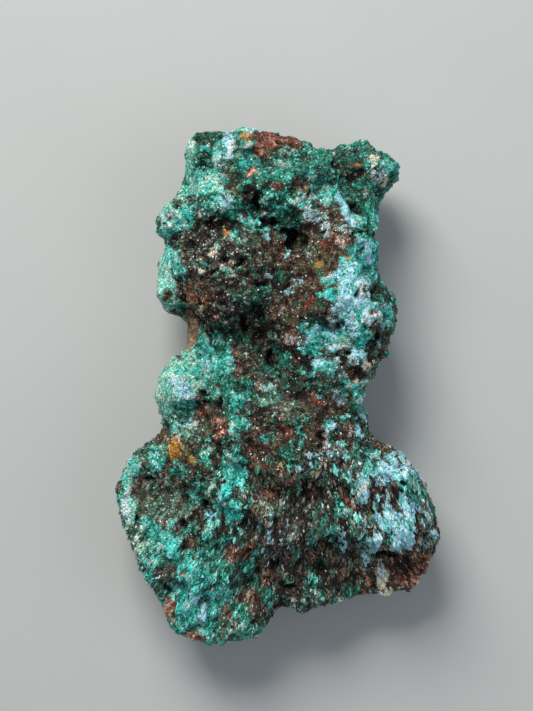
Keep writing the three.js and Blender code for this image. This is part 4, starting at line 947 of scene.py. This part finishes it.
def refine(points: np.ndarray, faces: np.ndarray) -> tuple[np.ndarray, np.ndarray]:
    """Splits each triangle of a closed mesh into four and rounds the facets off.

    Args:
        points: vertex places.
        faces: vertex numbers, three for each face.

    Returns:
        The new vertex places and faces.
    """
    corners = faces[:, [[0, 1], [1, 2], [2, 0]]].reshape(-1, 2)
    edges, edge_of = np.unique(np.sort(corners, axis=1), axis=0, return_inverse=True)
    edge_of = edge_of.reshape(-1)
    far = np.zeros((len(edges), 3))
    np.add.at(far, edge_of, points[faces[:, [2, 0, 1]].ravel()])
    middle = 0.375 * (points[edges[:, 0]] + points[edges[:, 1]]) + 0.125 * far
    valence = np.bincount(edges.ravel(), minlength=len(points)).astype(float)
    round_sum = np.zeros_like(points)
    np.add.at(round_sum, edges[:, 0], points[edges[:, 1]])
    np.add.at(round_sum, edges[:, 1], points[edges[:, 0]])
    pull = np.where(valence == 3, 3 / 16, 3 / (8 * valence))[:, None]
    old = (1 - pull * valence[:, None]) * points + pull * round_sum
    ab, bc, ca = (edge_of.reshape(-1, 3)[:, k] + len(points) for k in range(3))
    a, b, c = faces.T
    parts = [(a, ab, ca), (ab, b, bc), (ca, bc, c), (ab, bc, ca)]
    return np.concatenate([old, middle]), np.concatenate([np.stack(p, axis=1) for p in parts])


def hollows(points: np.ndarray, faces: np.ndarray, rounds: int) -> np.ndarray:
    """How far each vertex lies below its smoothed surroundings.

    Args:
        points: vertex places in mm.
        faces: vertex numbers, three for each face.
        rounds: how many times the surroundings are smoothed, which sets their reach.

    Returns:
        The depth in mm, below 0 on a top.
    """
    pairs = np.unique(np.sort(faces[:, [[0, 1], [1, 2], [2, 0]]].reshape(-1, 2), axis=1), axis=0)
    count = np.bincount(pairs.ravel(), minlength=len(points))[:, None]
    smooth = points
    for _ in range(rounds):
        total = np.stack(
            [
                np.bincount(pairs[:, 0], smooth[pairs[:, 1], axis], len(points))
                + np.bincount(pairs[:, 1], smooth[pairs[:, 0], axis], len(points))
                for axis in range(3)
            ],
            axis=1,
        )
        smooth = total / count
    return ((smooth - points) * vertex_normals(smooth, faces)).sum(axis=1)


@dataclass(frozen=True)
class StoneFinish:
    """Mineral surfaces, from waxy to glassy, with flecks, fine grain and a bump.

    The colour of each spot or grain comes from the piece itself. The nodes add the flecks and the
    variation inside it, the roughness and the bump.
    """

    name: str
    ior: float
    dull: float  # roughness of the dullest spots
    glassy: float  # roughness of the glassiest spots
    grain: float  # size of the fine grain in mm
    bump: float  # depth of the fine grain in mm
    mottle: float  # how much the colour varies inside a grain
    flecked: float = 0.5  # how much of the ground the flecks take up
    sheen: float = 0.5  # how much mirror light a clean spot gives back, 0.5 for an open surface

    def build(self) -> bpy.types.Material:
        """Builds the material.

        Returns:
            The new material.
        """
        material = bpy.data.materials.new(self.name)
        material.use_nodes = True
        tree = material.node_tree
        tree.nodes.clear()
        place = add_node(tree, "TexCoord").outputs["Object"]
        tint = add_node(tree, "Attribute", {"attribute_name": "tint"})
        fleck = add_node(tree, "Attribute", {"attribute_name": "fleck"})
        gloss = add_node(tree, "Attribute", {"attribute_name": "gloss"})
        per_metre = 1 / (self.grain * MM)
        coarse = add_node(
            tree, "TexNoise", {}, {"Scale": per_metre / 2.2, "Detail": 4.0, "Vector": place}
        )
        fine = add_node(
            tree, "TexNoise", {}, {"Scale": per_metre, "Detail": 3.0, "Vector": place}
        )
        facet = add_node(
            tree, "TexVoronoi", {"feature": "F1"}, {"Scale": per_metre / 1.3, "Vector": place}
        )
        edge = 0.6 - 0.2 * self.flecked
        spread = add_node(
            tree,
            "MapRange",
            {"interpolation_type": "SMOOTHSTEP"},
            {"Value": coarse.outputs["Fac"], "From Min": edge, "From Max": edge + 0.1},
        )
        mixed = add_node(
            tree,
            "Mix",
            {"data_type": "RGBA"},
            {0: spread.outputs["Result"], 6: tint.outputs["Color"], 7: fleck.outputs["Color"]},
        )
        shade = add_node(
            tree,
            "MapRange",
            {},
            {
                "Value": fine.outputs["Fac"],
                "From Min": 0.3,
                "From Max": 0.7,
                "To Min": 1.0 - self.mottle,
                "To Max": 1.0 + self.mottle,
            },
        )
        split = add_node(
            tree,
            "MapRange",
            {},
            {
                "Value": facet.outputs["Color"],
                "From Min": 0.2,
                "From Max": 0.8,
                "To Min": 1.0 - 1.2 * self.mottle,
                "To Max": 1.0 + 1.2 * self.mottle,
            },
        )
        value = add_node(
            tree,
            "Math",
            {"operation": "MULTIPLY"},
            {0: shade.outputs["Result"], 1: split.outputs["Result"]},
        )
        colour = add_node(
            tree, "HueSaturation", {}, {"Color": mixed.outputs[2], "Value": value.outputs[0]}
        )
        wear = add_node(
            tree,
            "MapRange",
            {},
            {"Value": gloss.outputs["Fac"], "To Min": self.dull - 0.1, "To Max": self.glassy - 0.1},
        )
        rough = add_node(
            tree,
            "Math",
            {"operation": "MULTIPLY_ADD", "use_clamp": True},
            {0: fine.outputs["Fac"], 1: 0.2, 2: wear.outputs["Result"]},
        )
        height = add_node(
            tree,
            "Math",
            {"operation": "SUBTRACT"},
            {0: fine.outputs["Fac"], 1: facet.outputs["Distance"]},
        )
        relief = add_node(
            tree,
            "Bump",
            {},
            {"Height": height.outputs[0], "Distance": self.bump * MM, "Strength": 1.0},
        )
        shader = add_node(
            tree,
            "BsdfPrincipled",
            {},
            {
                "Base Color": colour.outputs["Color"],
                "Roughness": rough.outputs[0],
                "Normal": relief.outputs["Normal"],
                "IOR": self.ior,
                "Specular IOR Level": self.sheen,
            },
        )
        add_node(tree, "OutputMaterial", {}, {"Surface": shader.outputs["BSDF"]})
        return material


def add_node(
    tree: bpy.types.NodeTree, kind: str, settings: dict | None = None, inputs: dict | None = None
) -> bpy.types.Node:
    """Adds a shader node with its settings, and sets or links its inputs.

    Args:
        tree: the node tree.
        kind: the node's type without its leading ShaderNode.
        settings: the node's own properties.
        inputs: for each input's name or number, a value to set or an output to link.

    Returns:
        The new node.
    """
    node = tree.nodes.new("ShaderNode" + kind)
    for name, value in (settings or {}).items():
        setattr(node, name, value)
    for name, value in (inputs or {}).items():
        if isinstance(value, bpy.types.NodeSocket):
            tree.links.new(value, node.inputs[name])
        else:
            node.inputs[name].default_value = value
    return node


@dataclass
class Stone:
    """The body of the stone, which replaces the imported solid: its form with the finer relief."""

    minerals: MineralMap
    rounds: int = 2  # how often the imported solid's triangles are split into four
    coarse: tuple[float, float] = (2.3, 0.2)  # knob spacing and depth in mm
    middle: tuple[float, float] = (1.1, 0.22)
    small: tuple[float, float] = (0.55, 0.13)
    level_lift: float = 0.24  # how far the highest growth stands above the lowest, in mm
    gap_shade: float = 0.58  # how much darker the ground is between thickly set grains
    deepest: float = 1.6  # no spot is sunk further than this, in mm
    proudest: float = 0.8  # no spot stands out further than this, in mm
    wide_crease: float = 0.16  # how wide the creases are between the coarse knobs, in knob sizes
    fine_crease: float = 0.2  # the same between the smaller knobs
    usual_tone: float = 0.46  # the tint of level ground, from 0 to 1
    near_shade: float = 1.1  # how much darker the tint is 1 mm below its near surroundings
    wide_shade: float = 0.12  # how much darker it is 1 mm below its wide surroundings
    near_painted_shade: float = 0.62  # how much light is lost in a small hollow: painted shade
    wide_painted_shade: float = 0.45  # how much light is lost in a wide hollow: painted shade
    points: np.ndarray = field(default_factory=lambda: np.zeros((0, 3)))
    faces: np.ndarray = field(default_factory=lambda: np.zeros((0, 3), dtype=int))
    near_hollow: np.ndarray = field(default_factory=lambda: np.zeros(0))
    wide_hollow: np.ndarray = field(default_factory=lambda: np.zeros(0))
    glow: np.ndarray = field(default_factory=lambda: np.zeros(0))  # light each vertex gives back

    def grow(self, node: bpy.types.Object) -> None:
        """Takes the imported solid's form and lays the relief over it.

        Args:
            node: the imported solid's object.
        """
        mesh = node.data
        mesh.calc_loop_triangles()
        points = np.empty(len(mesh.vertices) * 3)
        mesh.vertices.foreach_get("co", points)
        faces = np.empty(len(mesh.loop_triangles) * 3, dtype=np.int32)
        mesh.loop_triangles.foreach_get("vertices", faces)
        rounded = np.round(points.reshape(-1, 3) / MM, 5)
        points, same = np.unique(rounded, axis=0, return_inverse=True)
        faces = same.reshape(-1)[faces].reshape(-1, 3)
        for _ in range(self.rounds):
            points, faces = refine(points, faces)
        self.points, self.faces = self.lay_relief(points, faces), faces

    def lay_relief(self, points: np.ndarray, faces: np.ndarray) -> np.ndarray:
        """Moves each vertex in or out by the knobs, creases and pits of its patch.

        Args:
            points: vertex places in mm.
            faces: vertex numbers, three for each face.

        Returns:
            The new vertex places.
        """
        shares, traits = self.minerals.at(points)
        self.glow = returned_light(shares)
        rise, lumpiness = traits[:, 0], traits[:, 1]
        resting = smooth_step(0.05, 0.7, points[:, 2])
        normals = vertex_normals(points, faces)
        size, depth = self.coarse
        first, second, _ = knobs(points, size, 3)
        crease = np.exp(-(((second - first) / self.wide_crease) ** 2))
        height = depth * (0.55 - first - 0.5 * crease) + 0.15 * swell(points, 1.5, 9, 3)
        height = np.clip(height * lumpiness + rise, -self.deepest, self.proudest)
        level = growth_level(points)
        points = points + normals * (height * resting)[:, None]
        normals = vertex_normals(points, faces)
        fine = self.level_lift * (level - 0.5)
        for (size, depth), seed in ((self.middle, 13), (self.small, 23)):
            first, second, _ = knobs(fibre_place(points), size, seed)
            crease = np.exp(-(((second - first) / self.fine_crease) ** 2))
            fine += depth * (0.5 - first - 0.4 * crease)
        points = points + normals * (fine * resting * (0.3 + 0.7 * lumpiness))[:, None]
        points[:, 2] = np.maximum(points[:, 2], 0.0)
        self.near_hollow = hollows(points, faces, 6)
        self.wide_hollow = hollows(points, faces, 45)
        return points

    def tone(self) -> np.ndarray:
        """How light the tint of each vertex is, from 0 to 1: painted light on tops and painted
        shade in hollows.
        """
        drift = swell(self.points, 1.1, 81, 3)
        shade = self.near_shade * self.near_hollow
        return self.usual_tone - shade - self.wide_shade * self.wide_hollow + 0.08 * drift

    def painted_hollow_shade(self) -> np.ndarray:
        """The painted shade of hollows: how much light each vertex keeps, little in a deep dark
        hollow, all of it on a top.
        """
        near = smooth_step(0.02, 0.3, self.near_hollow)
        wide = smooth_step(0.05, 0.9, self.wide_hollow)
        lost = 1 - (1 - self.near_painted_shade * near) * (1 - self.wide_painted_shade * wide)
        return 1 - lost * (1 - self.glow)

    def dress(self, finish: StoneFinish) -> bpy.types.Object:
        """Makes the stone's mesh, colours it by its minerals and gives it its finish.

        Args:
            finish: the finish of the ground.

        Returns:
            The stone's object.
        """
        shares, traits = self.minerals.at(self.points)
        level = growth_level(self.points)
        rng = np.random.default_rng(SEED)
        count = len(self.points)
        tone = self.tone() + 0.08 * rng.standard_normal(count)
        # Painted shade: the ground is darkened between thickly set grains and in hollows.
        gaps = self.gap_shade * traits[:, 2] * (1 - self.glow)
        keep = (self.painted_hollow_shade() * (1 - gaps))[:, None]
        colours = tints(pick(shares, level), tone) * keep
        flecks = tints(pick(shares, (level + 0.15) % 1.0), tone + 0.35) * keep
        gloss = np.clip(0.35 + 0.25 * rng.standard_normal(count), 0, 1)
        stone = triangle_mesh("stone_body", self.points, self.faces)
        paint(stone, colours, flecks, gloss)
        stone.data.polygons.foreach_set("use_smooth", np.ones(len(self.faces), dtype=bool))
        stone.data.materials.append(finish.build())
        return stone


class Habit(Enum):
    """The shapes in which the minerals' grains grow."""

    CRYSTAL = "crystal"
    SHARD = "shard"
    BEAD = "bead"

    def template(self) -> tuple[np.ndarray, np.ndarray]:
        """The shape of one grain, 1 mm in size, with its long axis along z.

        Returns:
            Its vertex places and its faces.
        """
        if self is Habit.BEAD:
            wide, tall = 0.5257, 0.8507
            pairs = [(-wide, tall), (wide, tall), (-wide, -tall), (wide, -tall)]
            points = [(x, 0, z) for x, z in pairs]
            points += [(0, z, -x) for x, z in pairs]
            points += [(z, x, 0) for x, z in pairs]
            points = np.array(points)
            return points, outward_hull(points)
        if self is Habit.SHARD:
            points = np.array([(1, 1, 1), (1, -1, -1), (-1, 1, -1), (-1, -1, 1)]) * 0.75
            return points, outward_hull(points)
        sides = 4
        ring = [(math.cos(a), math.sin(a), 0.0) for a in np.arange(sides) * 2 * math.pi / sides]
        points = np.array(ring + [(0, 0, 1.0), (0, 0, -1.0)])
        top, low = sides, sides + 1
        faces = [(i, (i + 1) % sides, top) for i in range(sides)]
        faces += [((i + 1) % sides, i, low) for i in range(sides)]
        return points, np.array(faces)


def outward_hull(points: np.ndarray) -> np.ndarray:
    """The triangles of a regular solid round the origin, facing out.

    Args:
        points: its corners.

    Returns:
        Corner numbers, three for each face.
    """
    away = np.linalg.norm(points[:, None] - points[None], axis=2)
    side = away[away > 1e-6].min() * 1.01
    count = len(points)
    faces = []
    for i in range(count):
        for j in range(i + 1, count):
            for k in range(j + 1, count):
                if max(away[i, j], away[j, k], away[i, k]) < side:
                    turn = np.dot(np.cross(points[j] - points[i], points[k] - points[i]), points[i])
                    faces.append((i, j, k) if turn > 0 else (i, k, j))
    return np.array(faces)


@dataclass
class GrainCoat:
    """One kind of grain, set all over the stone where its minerals lie."""

    name: str
    habit: Habit
    grown_of: tuple[Mineral, ...]
    finish: StoneFinish
    share: float  # how many of the places with these minerals it takes up
    girth: tuple[float, float]  # half the thickness of the thinnest and thickest grain, in mm
    slender: tuple[float, float]  # length over thickness
    lean: float  # how far the grains lean from upright
    bury: float  # how much of a grain's half thickness is sunk in the ground
    proud: float  # how far a grain stands out, against one that is not pressed to the ground
    irregular: float  # how far each corner is moved, in grain sizes
    gloss: tuple[float, float]
    uneven: float = 0.6  # how much the grains differ in lightness
    smooth: bool = False

    def set_on(self, spots: "Spots", seed: int) -> bpy.types.Object:
        """Makes all grains of this kind as one mesh.

        Args:
            spots: where grains may stand.
            seed: the seed of this kind's random numbers.

        Returns:
            The object that holds the grains.
        """
        rng = np.random.default_rng(SEED + seed)
        wanted = np.isin(spots.minerals, [MINERALS.index(m) for m in self.grown_of])
        chosen = np.flatnonzero(wanted & (rng.random(len(wanted)) < self.share))
        places, normals = spots.places[chosen], spots.normals[chosen]
        count = len(chosen)
        along = fibre_lean(places)
        along -= normals * (along * normals).sum(axis=1, keepdims=True)
        fibrous = np.minimum(np.linalg.norm(along, axis=1, keepdims=True), 1.0)
        upright = normals + self.lean * rng.standard_normal((count, 3))
        axis = (1 - FIBRE_GRIP * fibrous) * upright + along
        axis /= np.linalg.norm(axis, axis=1, keepdims=True)
        across = np.cross(axis, rng.standard_normal((count, 3)))
        across /= np.linalg.norm(across, axis=1, keepdims=True)
        third = np.cross(axis, across)
        girth = (self.girth[0] + (self.girth[1] - self.girth[0]) * rng.random(count) ** 2)[:, None]
        length = girth * rng.uniform(*self.slender, count)[:, None]
        length *= 1.0 + FIBRE_STRETCH * fibrous
        shape, shape_faces = self.habit.template()
        corners = shape[None] + self.irregular * rng.uniform(-1, 1, (count, len(shape), 3))
        centres = places - normals * (girth * self.bury)
        reach = (
            corners[..., 0:1] * (across * girth)[:, None]
            + corners[..., 1:2] * (third * girth)[:, None]
            + corners[..., 2:3] * (axis * length)[:, None]
        )
        upward = (reach * normals[:, None]).sum(axis=-1, keepdims=True)
        points = centres[:, None] + reach - (1 - self.proud) * upward * normals[:, None]
        points[..., 2] = np.maximum(points[..., 2], 0.02)
        offsets = np.arange(count)[:, None, None] * len(shape)
        faces = (shape_faces[None] + offsets).reshape(-1, 3)
        patchy = self.uneven * (0.8 + FIBRE_UNEVEN * fibrous[:, 0])
        # The grains take the painted light and shade of the tops and hollows they sit on.
        tone = spots.tone[chosen] + patchy * rng.standard_normal(count)
        keep = spots.keep[chosen][:, None]
        colours = tints(spots.minerals[chosen], tone) * keep
        flecks = tints(spots.minerals[chosen], tone + 0.2 * rng.standard_normal(count)) * keep
        gloss = rng.uniform(*self.gloss, count)
        coat = triangle_mesh(self.name, points.reshape(-1, 3), faces)
        each = len(shape)
        tinted, flecked = (np.repeat(values, each, axis=0) for values in (colours, flecks))
        paint(coat, tinted, flecked, np.repeat(gloss, each))
        coat.data.polygons.foreach_set("use_smooth", np.full(len(faces), self.smooth))
        coat.data.materials.append(self.finish.build())
        return coat


def fibre_lean(places: np.ndarray) -> np.ndarray:
    """How the fibrous crystals of the foot fan out towards its lower edge.

    Args:
        places: places in mm.

    Returns:
        A push to add to each grain's direction.
    """
    from_basin = np.hypot(places[:, 0] - BASIN[0], places[:, 1] - BASIN[1])
    amount = (smooth_step(-1.0, -12.0, places[:, 1]) * smooth_step(3.0, 6.0, from_basin))[:, None]
    sideways = 0.045 * (places[:, 0] - FIBRE_MIDDLE)
    fan = np.stack([sideways, np.full(len(places), -1.0), np.zeros(len(places))], axis=1)
    return 1.4 * amount * fan


@dataclass
class Spots:
    """Places spread over the stone's surface, and what grows at each."""

    places: np.ndarray  # in mm
    normals: np.ndarray  # the outward direction
    minerals: np.ndarray  # the place in MINERALS
    tone: np.ndarray  # how light the tint is, with the painted light and shade of tops and hollows
    keep: np.ndarray  # how much light reaches it under the painted shade of its hollow

    @classmethod
    def scatter(cls, stone: Stone, tries: int, under_share: float, glints: float) -> "Spots":
        """Draws places all over the stone and keeps those that are set with grains.

        Args:
            stone: the stone, already grown.
            tries: how many places are drawn.
            under_share: how thinly the under side is covered, against the rest.
            glints: the share of the places in dark growths that hold a loose pale point of quartz,
                whose light colour is a painted highlight beside its real glassy glint.

        Returns:
            The places kept.
        """
        rng = np.random.default_rng(SEED + 1)
        a, b, c = (stone.points[stone.faces[:, k]] for k in range(3))
        facing = np.cross(b - a, c - a)
        area = np.linalg.norm(facing, axis=1) / 2
        share = area * np.where(facing[:, 2] < -0.3 * 2 * area, under_share, 1.0)
        share[a[:, 2] < 0.3] = 0.0
        face = rng.choice(len(share), tries, p=share / share.sum())
        u, v = rng.random((2, tries))
        flip = u + v > 1
        u[flip], v[flip] = 1 - u[flip], 1 - v[flip]
        places = a[face] + u[:, None] * (b - a)[face] + v[:, None] * (c - a)[face]
        shares, traits = stone.minerals.at(places)
        kept = rng.random(tries) < traits[:, 2]
        places, shares, face = places[kept], shares[kept], face[kept]
        corners = stone.faces[face]
        normals = vertex_normals(stone.points, stone.faces)[corners].mean(axis=1)
        loose = rng.random(len(places))
        glint = rng.random(len(places)) < glints * (1 - returned_light(shares))
        draw = np.where(rng.random(len(places)) < LOOSE_SHARE, loose, growth_level(places))
        minerals = pick(shares, draw)
        # Pale quartz points in dark growths: painted highlights for glints, on a real glassy
        # finish.
        minerals[glint] = MINERALS.index(Mineral.QUARTZ_DRUSE)
        return cls(
            places=places,
            normals=normals,
            minerals=minerals,
            tone=stone.tone()[corners].mean(axis=1),
            keep=stone.painted_hollow_shade()[corners].mean(axis=1),
        )


# Malachite: a copper carbonate with a silky to glassy lustre. Its crystals are fine needles and
# blocks, so the eye sees many small glints with deep green between them.
MALACHITE_CRYSTAL = StoneFinish(
    "malachite_crystal", ior=1.66, dull=0.65, glassy=0.2, grain=0.09, bump=0.02, mottle=0.16
)
# Chrysocolla: a waxy blue-green copper silicate in small beads, which look soft and even.
CHRYSOCOLLA_WAX = StoneFinish(
    "chrysocolla_crust", ior=1.5, dull=0.75, glassy=0.45, grain=0.12, bump=0.02, mottle=0.12
)
# Limonite and goethite: earthy to sub-metallic iron oxides. They look dull with dark glints.
IRON_OXIDE = StoneFinish(
    "iron_oxide_grain",
    ior=1.6,
    dull=0.9,
    glassy=0.3,
    grain=0.1,
    bump=0.03,
    mottle=0.22,
    sheen=0.32,
)
# Quartz druse: clear to milky points, grown last, with bright glassy sparkles.
QUARTZ_SPARKLE = StoneFinish(
    "quartz_druse", ior=1.54, dull=0.4, glassy=0.1, grain=0.1, bump=0.015, mottle=0.08
)
# The ground between the grains: broken mineral, mixed and dull.
MIXED_STONE = StoneFinish(
    "mixed_mineral_ground",
    ior=1.48,
    dull=0.95,
    glassy=0.45,
    grain=0.11,
    bump=0.07,
    mottle=0.42,
    sheen=0.25,
)

GREENS = (
    Mineral.DEEP_MALACHITE,
    Mineral.MALACHITE,
    Mineral.SILKY_MALACHITE,
    Mineral.TURQUOISE_CRUST,
    Mineral.VIVID_CRUST,
)
PALES = (Mineral.CHRYSOCOLLA, Mineral.MINT_CRUST, Mineral.CREAM_CALCITE)
OXIDES = (
    Mineral.LIMONITE,
    Mineral.GREY_LIMONITE,
    Mineral.GOETHITE,
    Mineral.RUST,
    Mineral.BRICK_HEMATITE,
    Mineral.SALMON_CLAY,
    Mineral.OCHRE,
    Mineral.OLIVE_CLAY,
    Mineral.TAN_JASPER,
)
COATS = (
    GrainCoat(
        "malachite_crystals", Habit.CRYSTAL, GREENS, MALACHITE_CRYSTAL, share=0.2,
        girth=(0.11, 0.24), slender=(0.7, 1.3), lean=0.5, bury=0.3, proud=0.6, irregular=0.25,
        gloss=(0.0, 1.0),
    ),
    GrainCoat(
        "malachite_shards", Habit.SHARD, GREENS, MALACHITE_CRYSTAL, share=0.8, girth=(0.08, 0.19),
        slender=(0.8, 1.3), lean=1.5, bury=0.25, proud=0.55, irregular=0.3, gloss=(0.0, 1.0),
    ),
    GrainCoat(
        "chrysocolla_nodules", Habit.BEAD, PALES, CHRYSOCOLLA_WAX, share=0.16, girth=(0.11, 0.22),
        slender=(0.6, 0.9), lean=0.3, bury=0.3, proud=0.6, irregular=0.2, gloss=(0.1, 0.9),
        uneven=0.35, smooth=True,
    ),
    GrainCoat(
        "chrysocolla_crumbs", Habit.SHARD, PALES, CHRYSOCOLLA_WAX, share=0.84, girth=(0.08, 0.18),
        slender=(0.8, 1.2), lean=1.5, bury=0.25, proud=0.5, irregular=0.3, gloss=(0.1, 0.9),
        uneven=0.4,
    ),
    GrainCoat(
        "iron_oxide_grains", Habit.CRYSTAL, OXIDES, IRON_OXIDE, share=0.2, girth=(0.11, 0.24),
        slender=(0.6, 1.1), lean=0.8, bury=0.3, proud=0.6, irregular=0.3, gloss=(0.0, 0.9),
    ),
    GrainCoat(
        "iron_oxide_crumbs", Habit.SHARD, OXIDES, IRON_OXIDE, share=0.8, girth=(0.08, 0.19),
        slender=(0.8, 1.2), lean=1.5, bury=0.25, proud=0.55, irregular=0.3, gloss=(0.0, 0.9),
    ),
    GrainCoat(
        "quartz_sparkles", Habit.CRYSTAL, (Mineral.QUARTZ_DRUSE,), QUARTZ_SPARKLE, share=1.0,
        girth=(0.06, 0.14), slender=(0.8, 1.3), lean=0.6, bury=0.2, proud=0.7, irregular=0.15,
        gloss=(0.2, 1.0),
    ),
)


@dataclass
class Studio:
    """The floor, the lights and the camera that looks straight down on the stone."""

    height_px: int = 711  # the long side of the photograph
    px_per_mm: float = 10.3  # its scale at the stone
    aim: tuple[float, float, float] = (*VIEW_AXIS, MAP_LEVEL)
    lens: float = 85.0
    floor_half: float = 1500.0  # in mm

    def floor(self) -> None:
        """Makes the plain pale floor."""
        half = self.floor_half
        corners = np.array([(-half, -half, 0), (half, -half, 0), (half, half, 0), (-half, half, 0)])
        floor = triangle_mesh("floor", corners, np.array([(0, 1, 2), (0, 2, 3)]))
        material = bpy.data.materials.new("pale_floor")
        material.use_nodes = True
        tree = material.node_tree
        tree.nodes.clear()
        place = add_node(tree, "TexCoord")
        grain = add_node(
            tree, "TexNoise", {}, {"Scale": 40.0, "Detail": 2.0, "Vector": place.outputs["Object"]}
        )
        tone = add_node(tree, "ValToRGB", {}, {"Fac": grain.outputs["Fac"]})
        for stop, code in zip(tone.color_ramp.elements, ("#b4b8ba", "#bcc0c1")):
            stop.color = (*linear(code), 1.0)
        shader = add_node(
            tree, "BsdfPrincipled", {}, {"Base Color": tone.outputs["Color"], "Roughness": 0.9}
        )
        add_node(tree, "OutputMaterial", {}, {"Surface": shader.outputs["BSDF"]})
        floor.data.materials.append(material)

    def lamp(
        self, name: str, place: tuple[float, float, float], size: float, watts: float, code: str
    ) -> None:
        """Adds a square soft light that faces the stone.

        Args:
            name: the light's name.
            place: where it stands, in mm.
            size: the length of its side, in mm.
            watts: its power.
            code: its sRGB colour.
        """
        data = bpy.data.lights.new(name, "AREA")
        data.size = size * MM
        data.energy = watts
        data.color = linear(code)
        lamp = bpy.data.objects.new(name, data)
        lamp.location = [v * MM for v in place]
        lamp.rotation_euler = (-lamp.location).to_track_quat("-Z", "Y").to_euler()
        bpy.context.scene.collection.objects.link(lamp)

    def lights(self) -> None:
        """Adds the key light from the far end, a weak fill and an even pale sky."""
        self.lamp("key", (-90, 230, 230), 170, 1.34, "#fffaf2")
        self.lamp("fill", (240, -60, 200), 260, 0.22, "#eef4ff")
        world = bpy.data.worlds.new("soft_sky")
        bpy.context.scene.world = world
        world.use_nodes = True
        world.node_tree.nodes.clear()
        pale = (*linear("#e9eef2"), 1.0)
        sky = add_node(world.node_tree, "Background", {}, {"Color": pale, "Strength": 0.28})
        add_node(world.node_tree, "OutputWorld", {}, {"Surface": sky.outputs["Background"]})

    def camera(self) -> None:
        """Adds the camera, straight above the stone, with its long side along +Y."""
        data = bpy.data.cameras.new("camera")
        data.lens = self.lens
        data.sensor_width = 36.0
        data.dof.use_dof = False
        long_side = self.height_px / self.px_per_mm
        away = long_side * self.lens / 36.0
        camera = bpy.data.objects.new("camera", data)
        camera.location = (self.aim[0] * MM, self.aim[1] * MM, (self.aim[2] + away) * MM)
        data.clip_start = 0.01
        bpy.context.scene.collection.objects.link(camera)
        bpy.context.scene.camera = camera
        bpy.context.scene.view_settings.view_transform = "Standard"


def main() -> None:
    """Builds the stone, its coats and the studio."""
    logging.basicConfig(level=logging.INFO, format="%(message)s")
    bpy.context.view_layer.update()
    studio = Studio()
    studio.camera()
    studio.lights()
    studio.floor()
    stone = Stone(MineralMap(PATCHES))
    stone.grow(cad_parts["malachite_stone"])
    body = stone.dress(MIXED_STONE)
    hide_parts("malachite_stone")
    spots = Spots.scatter(stone, tries=150_000, under_share=0.4, glints=0.032)
    coats = [coat.set_on(spots, seed) for seed, coat in enumerate(COATS, start=2)]
    for piece in (body, *coats):
        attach(piece, "root")
        log.info("%s: %d triangles", piece.name, len(piece.data.polygons))
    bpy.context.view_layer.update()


if __name__ == "__main__":
    main()
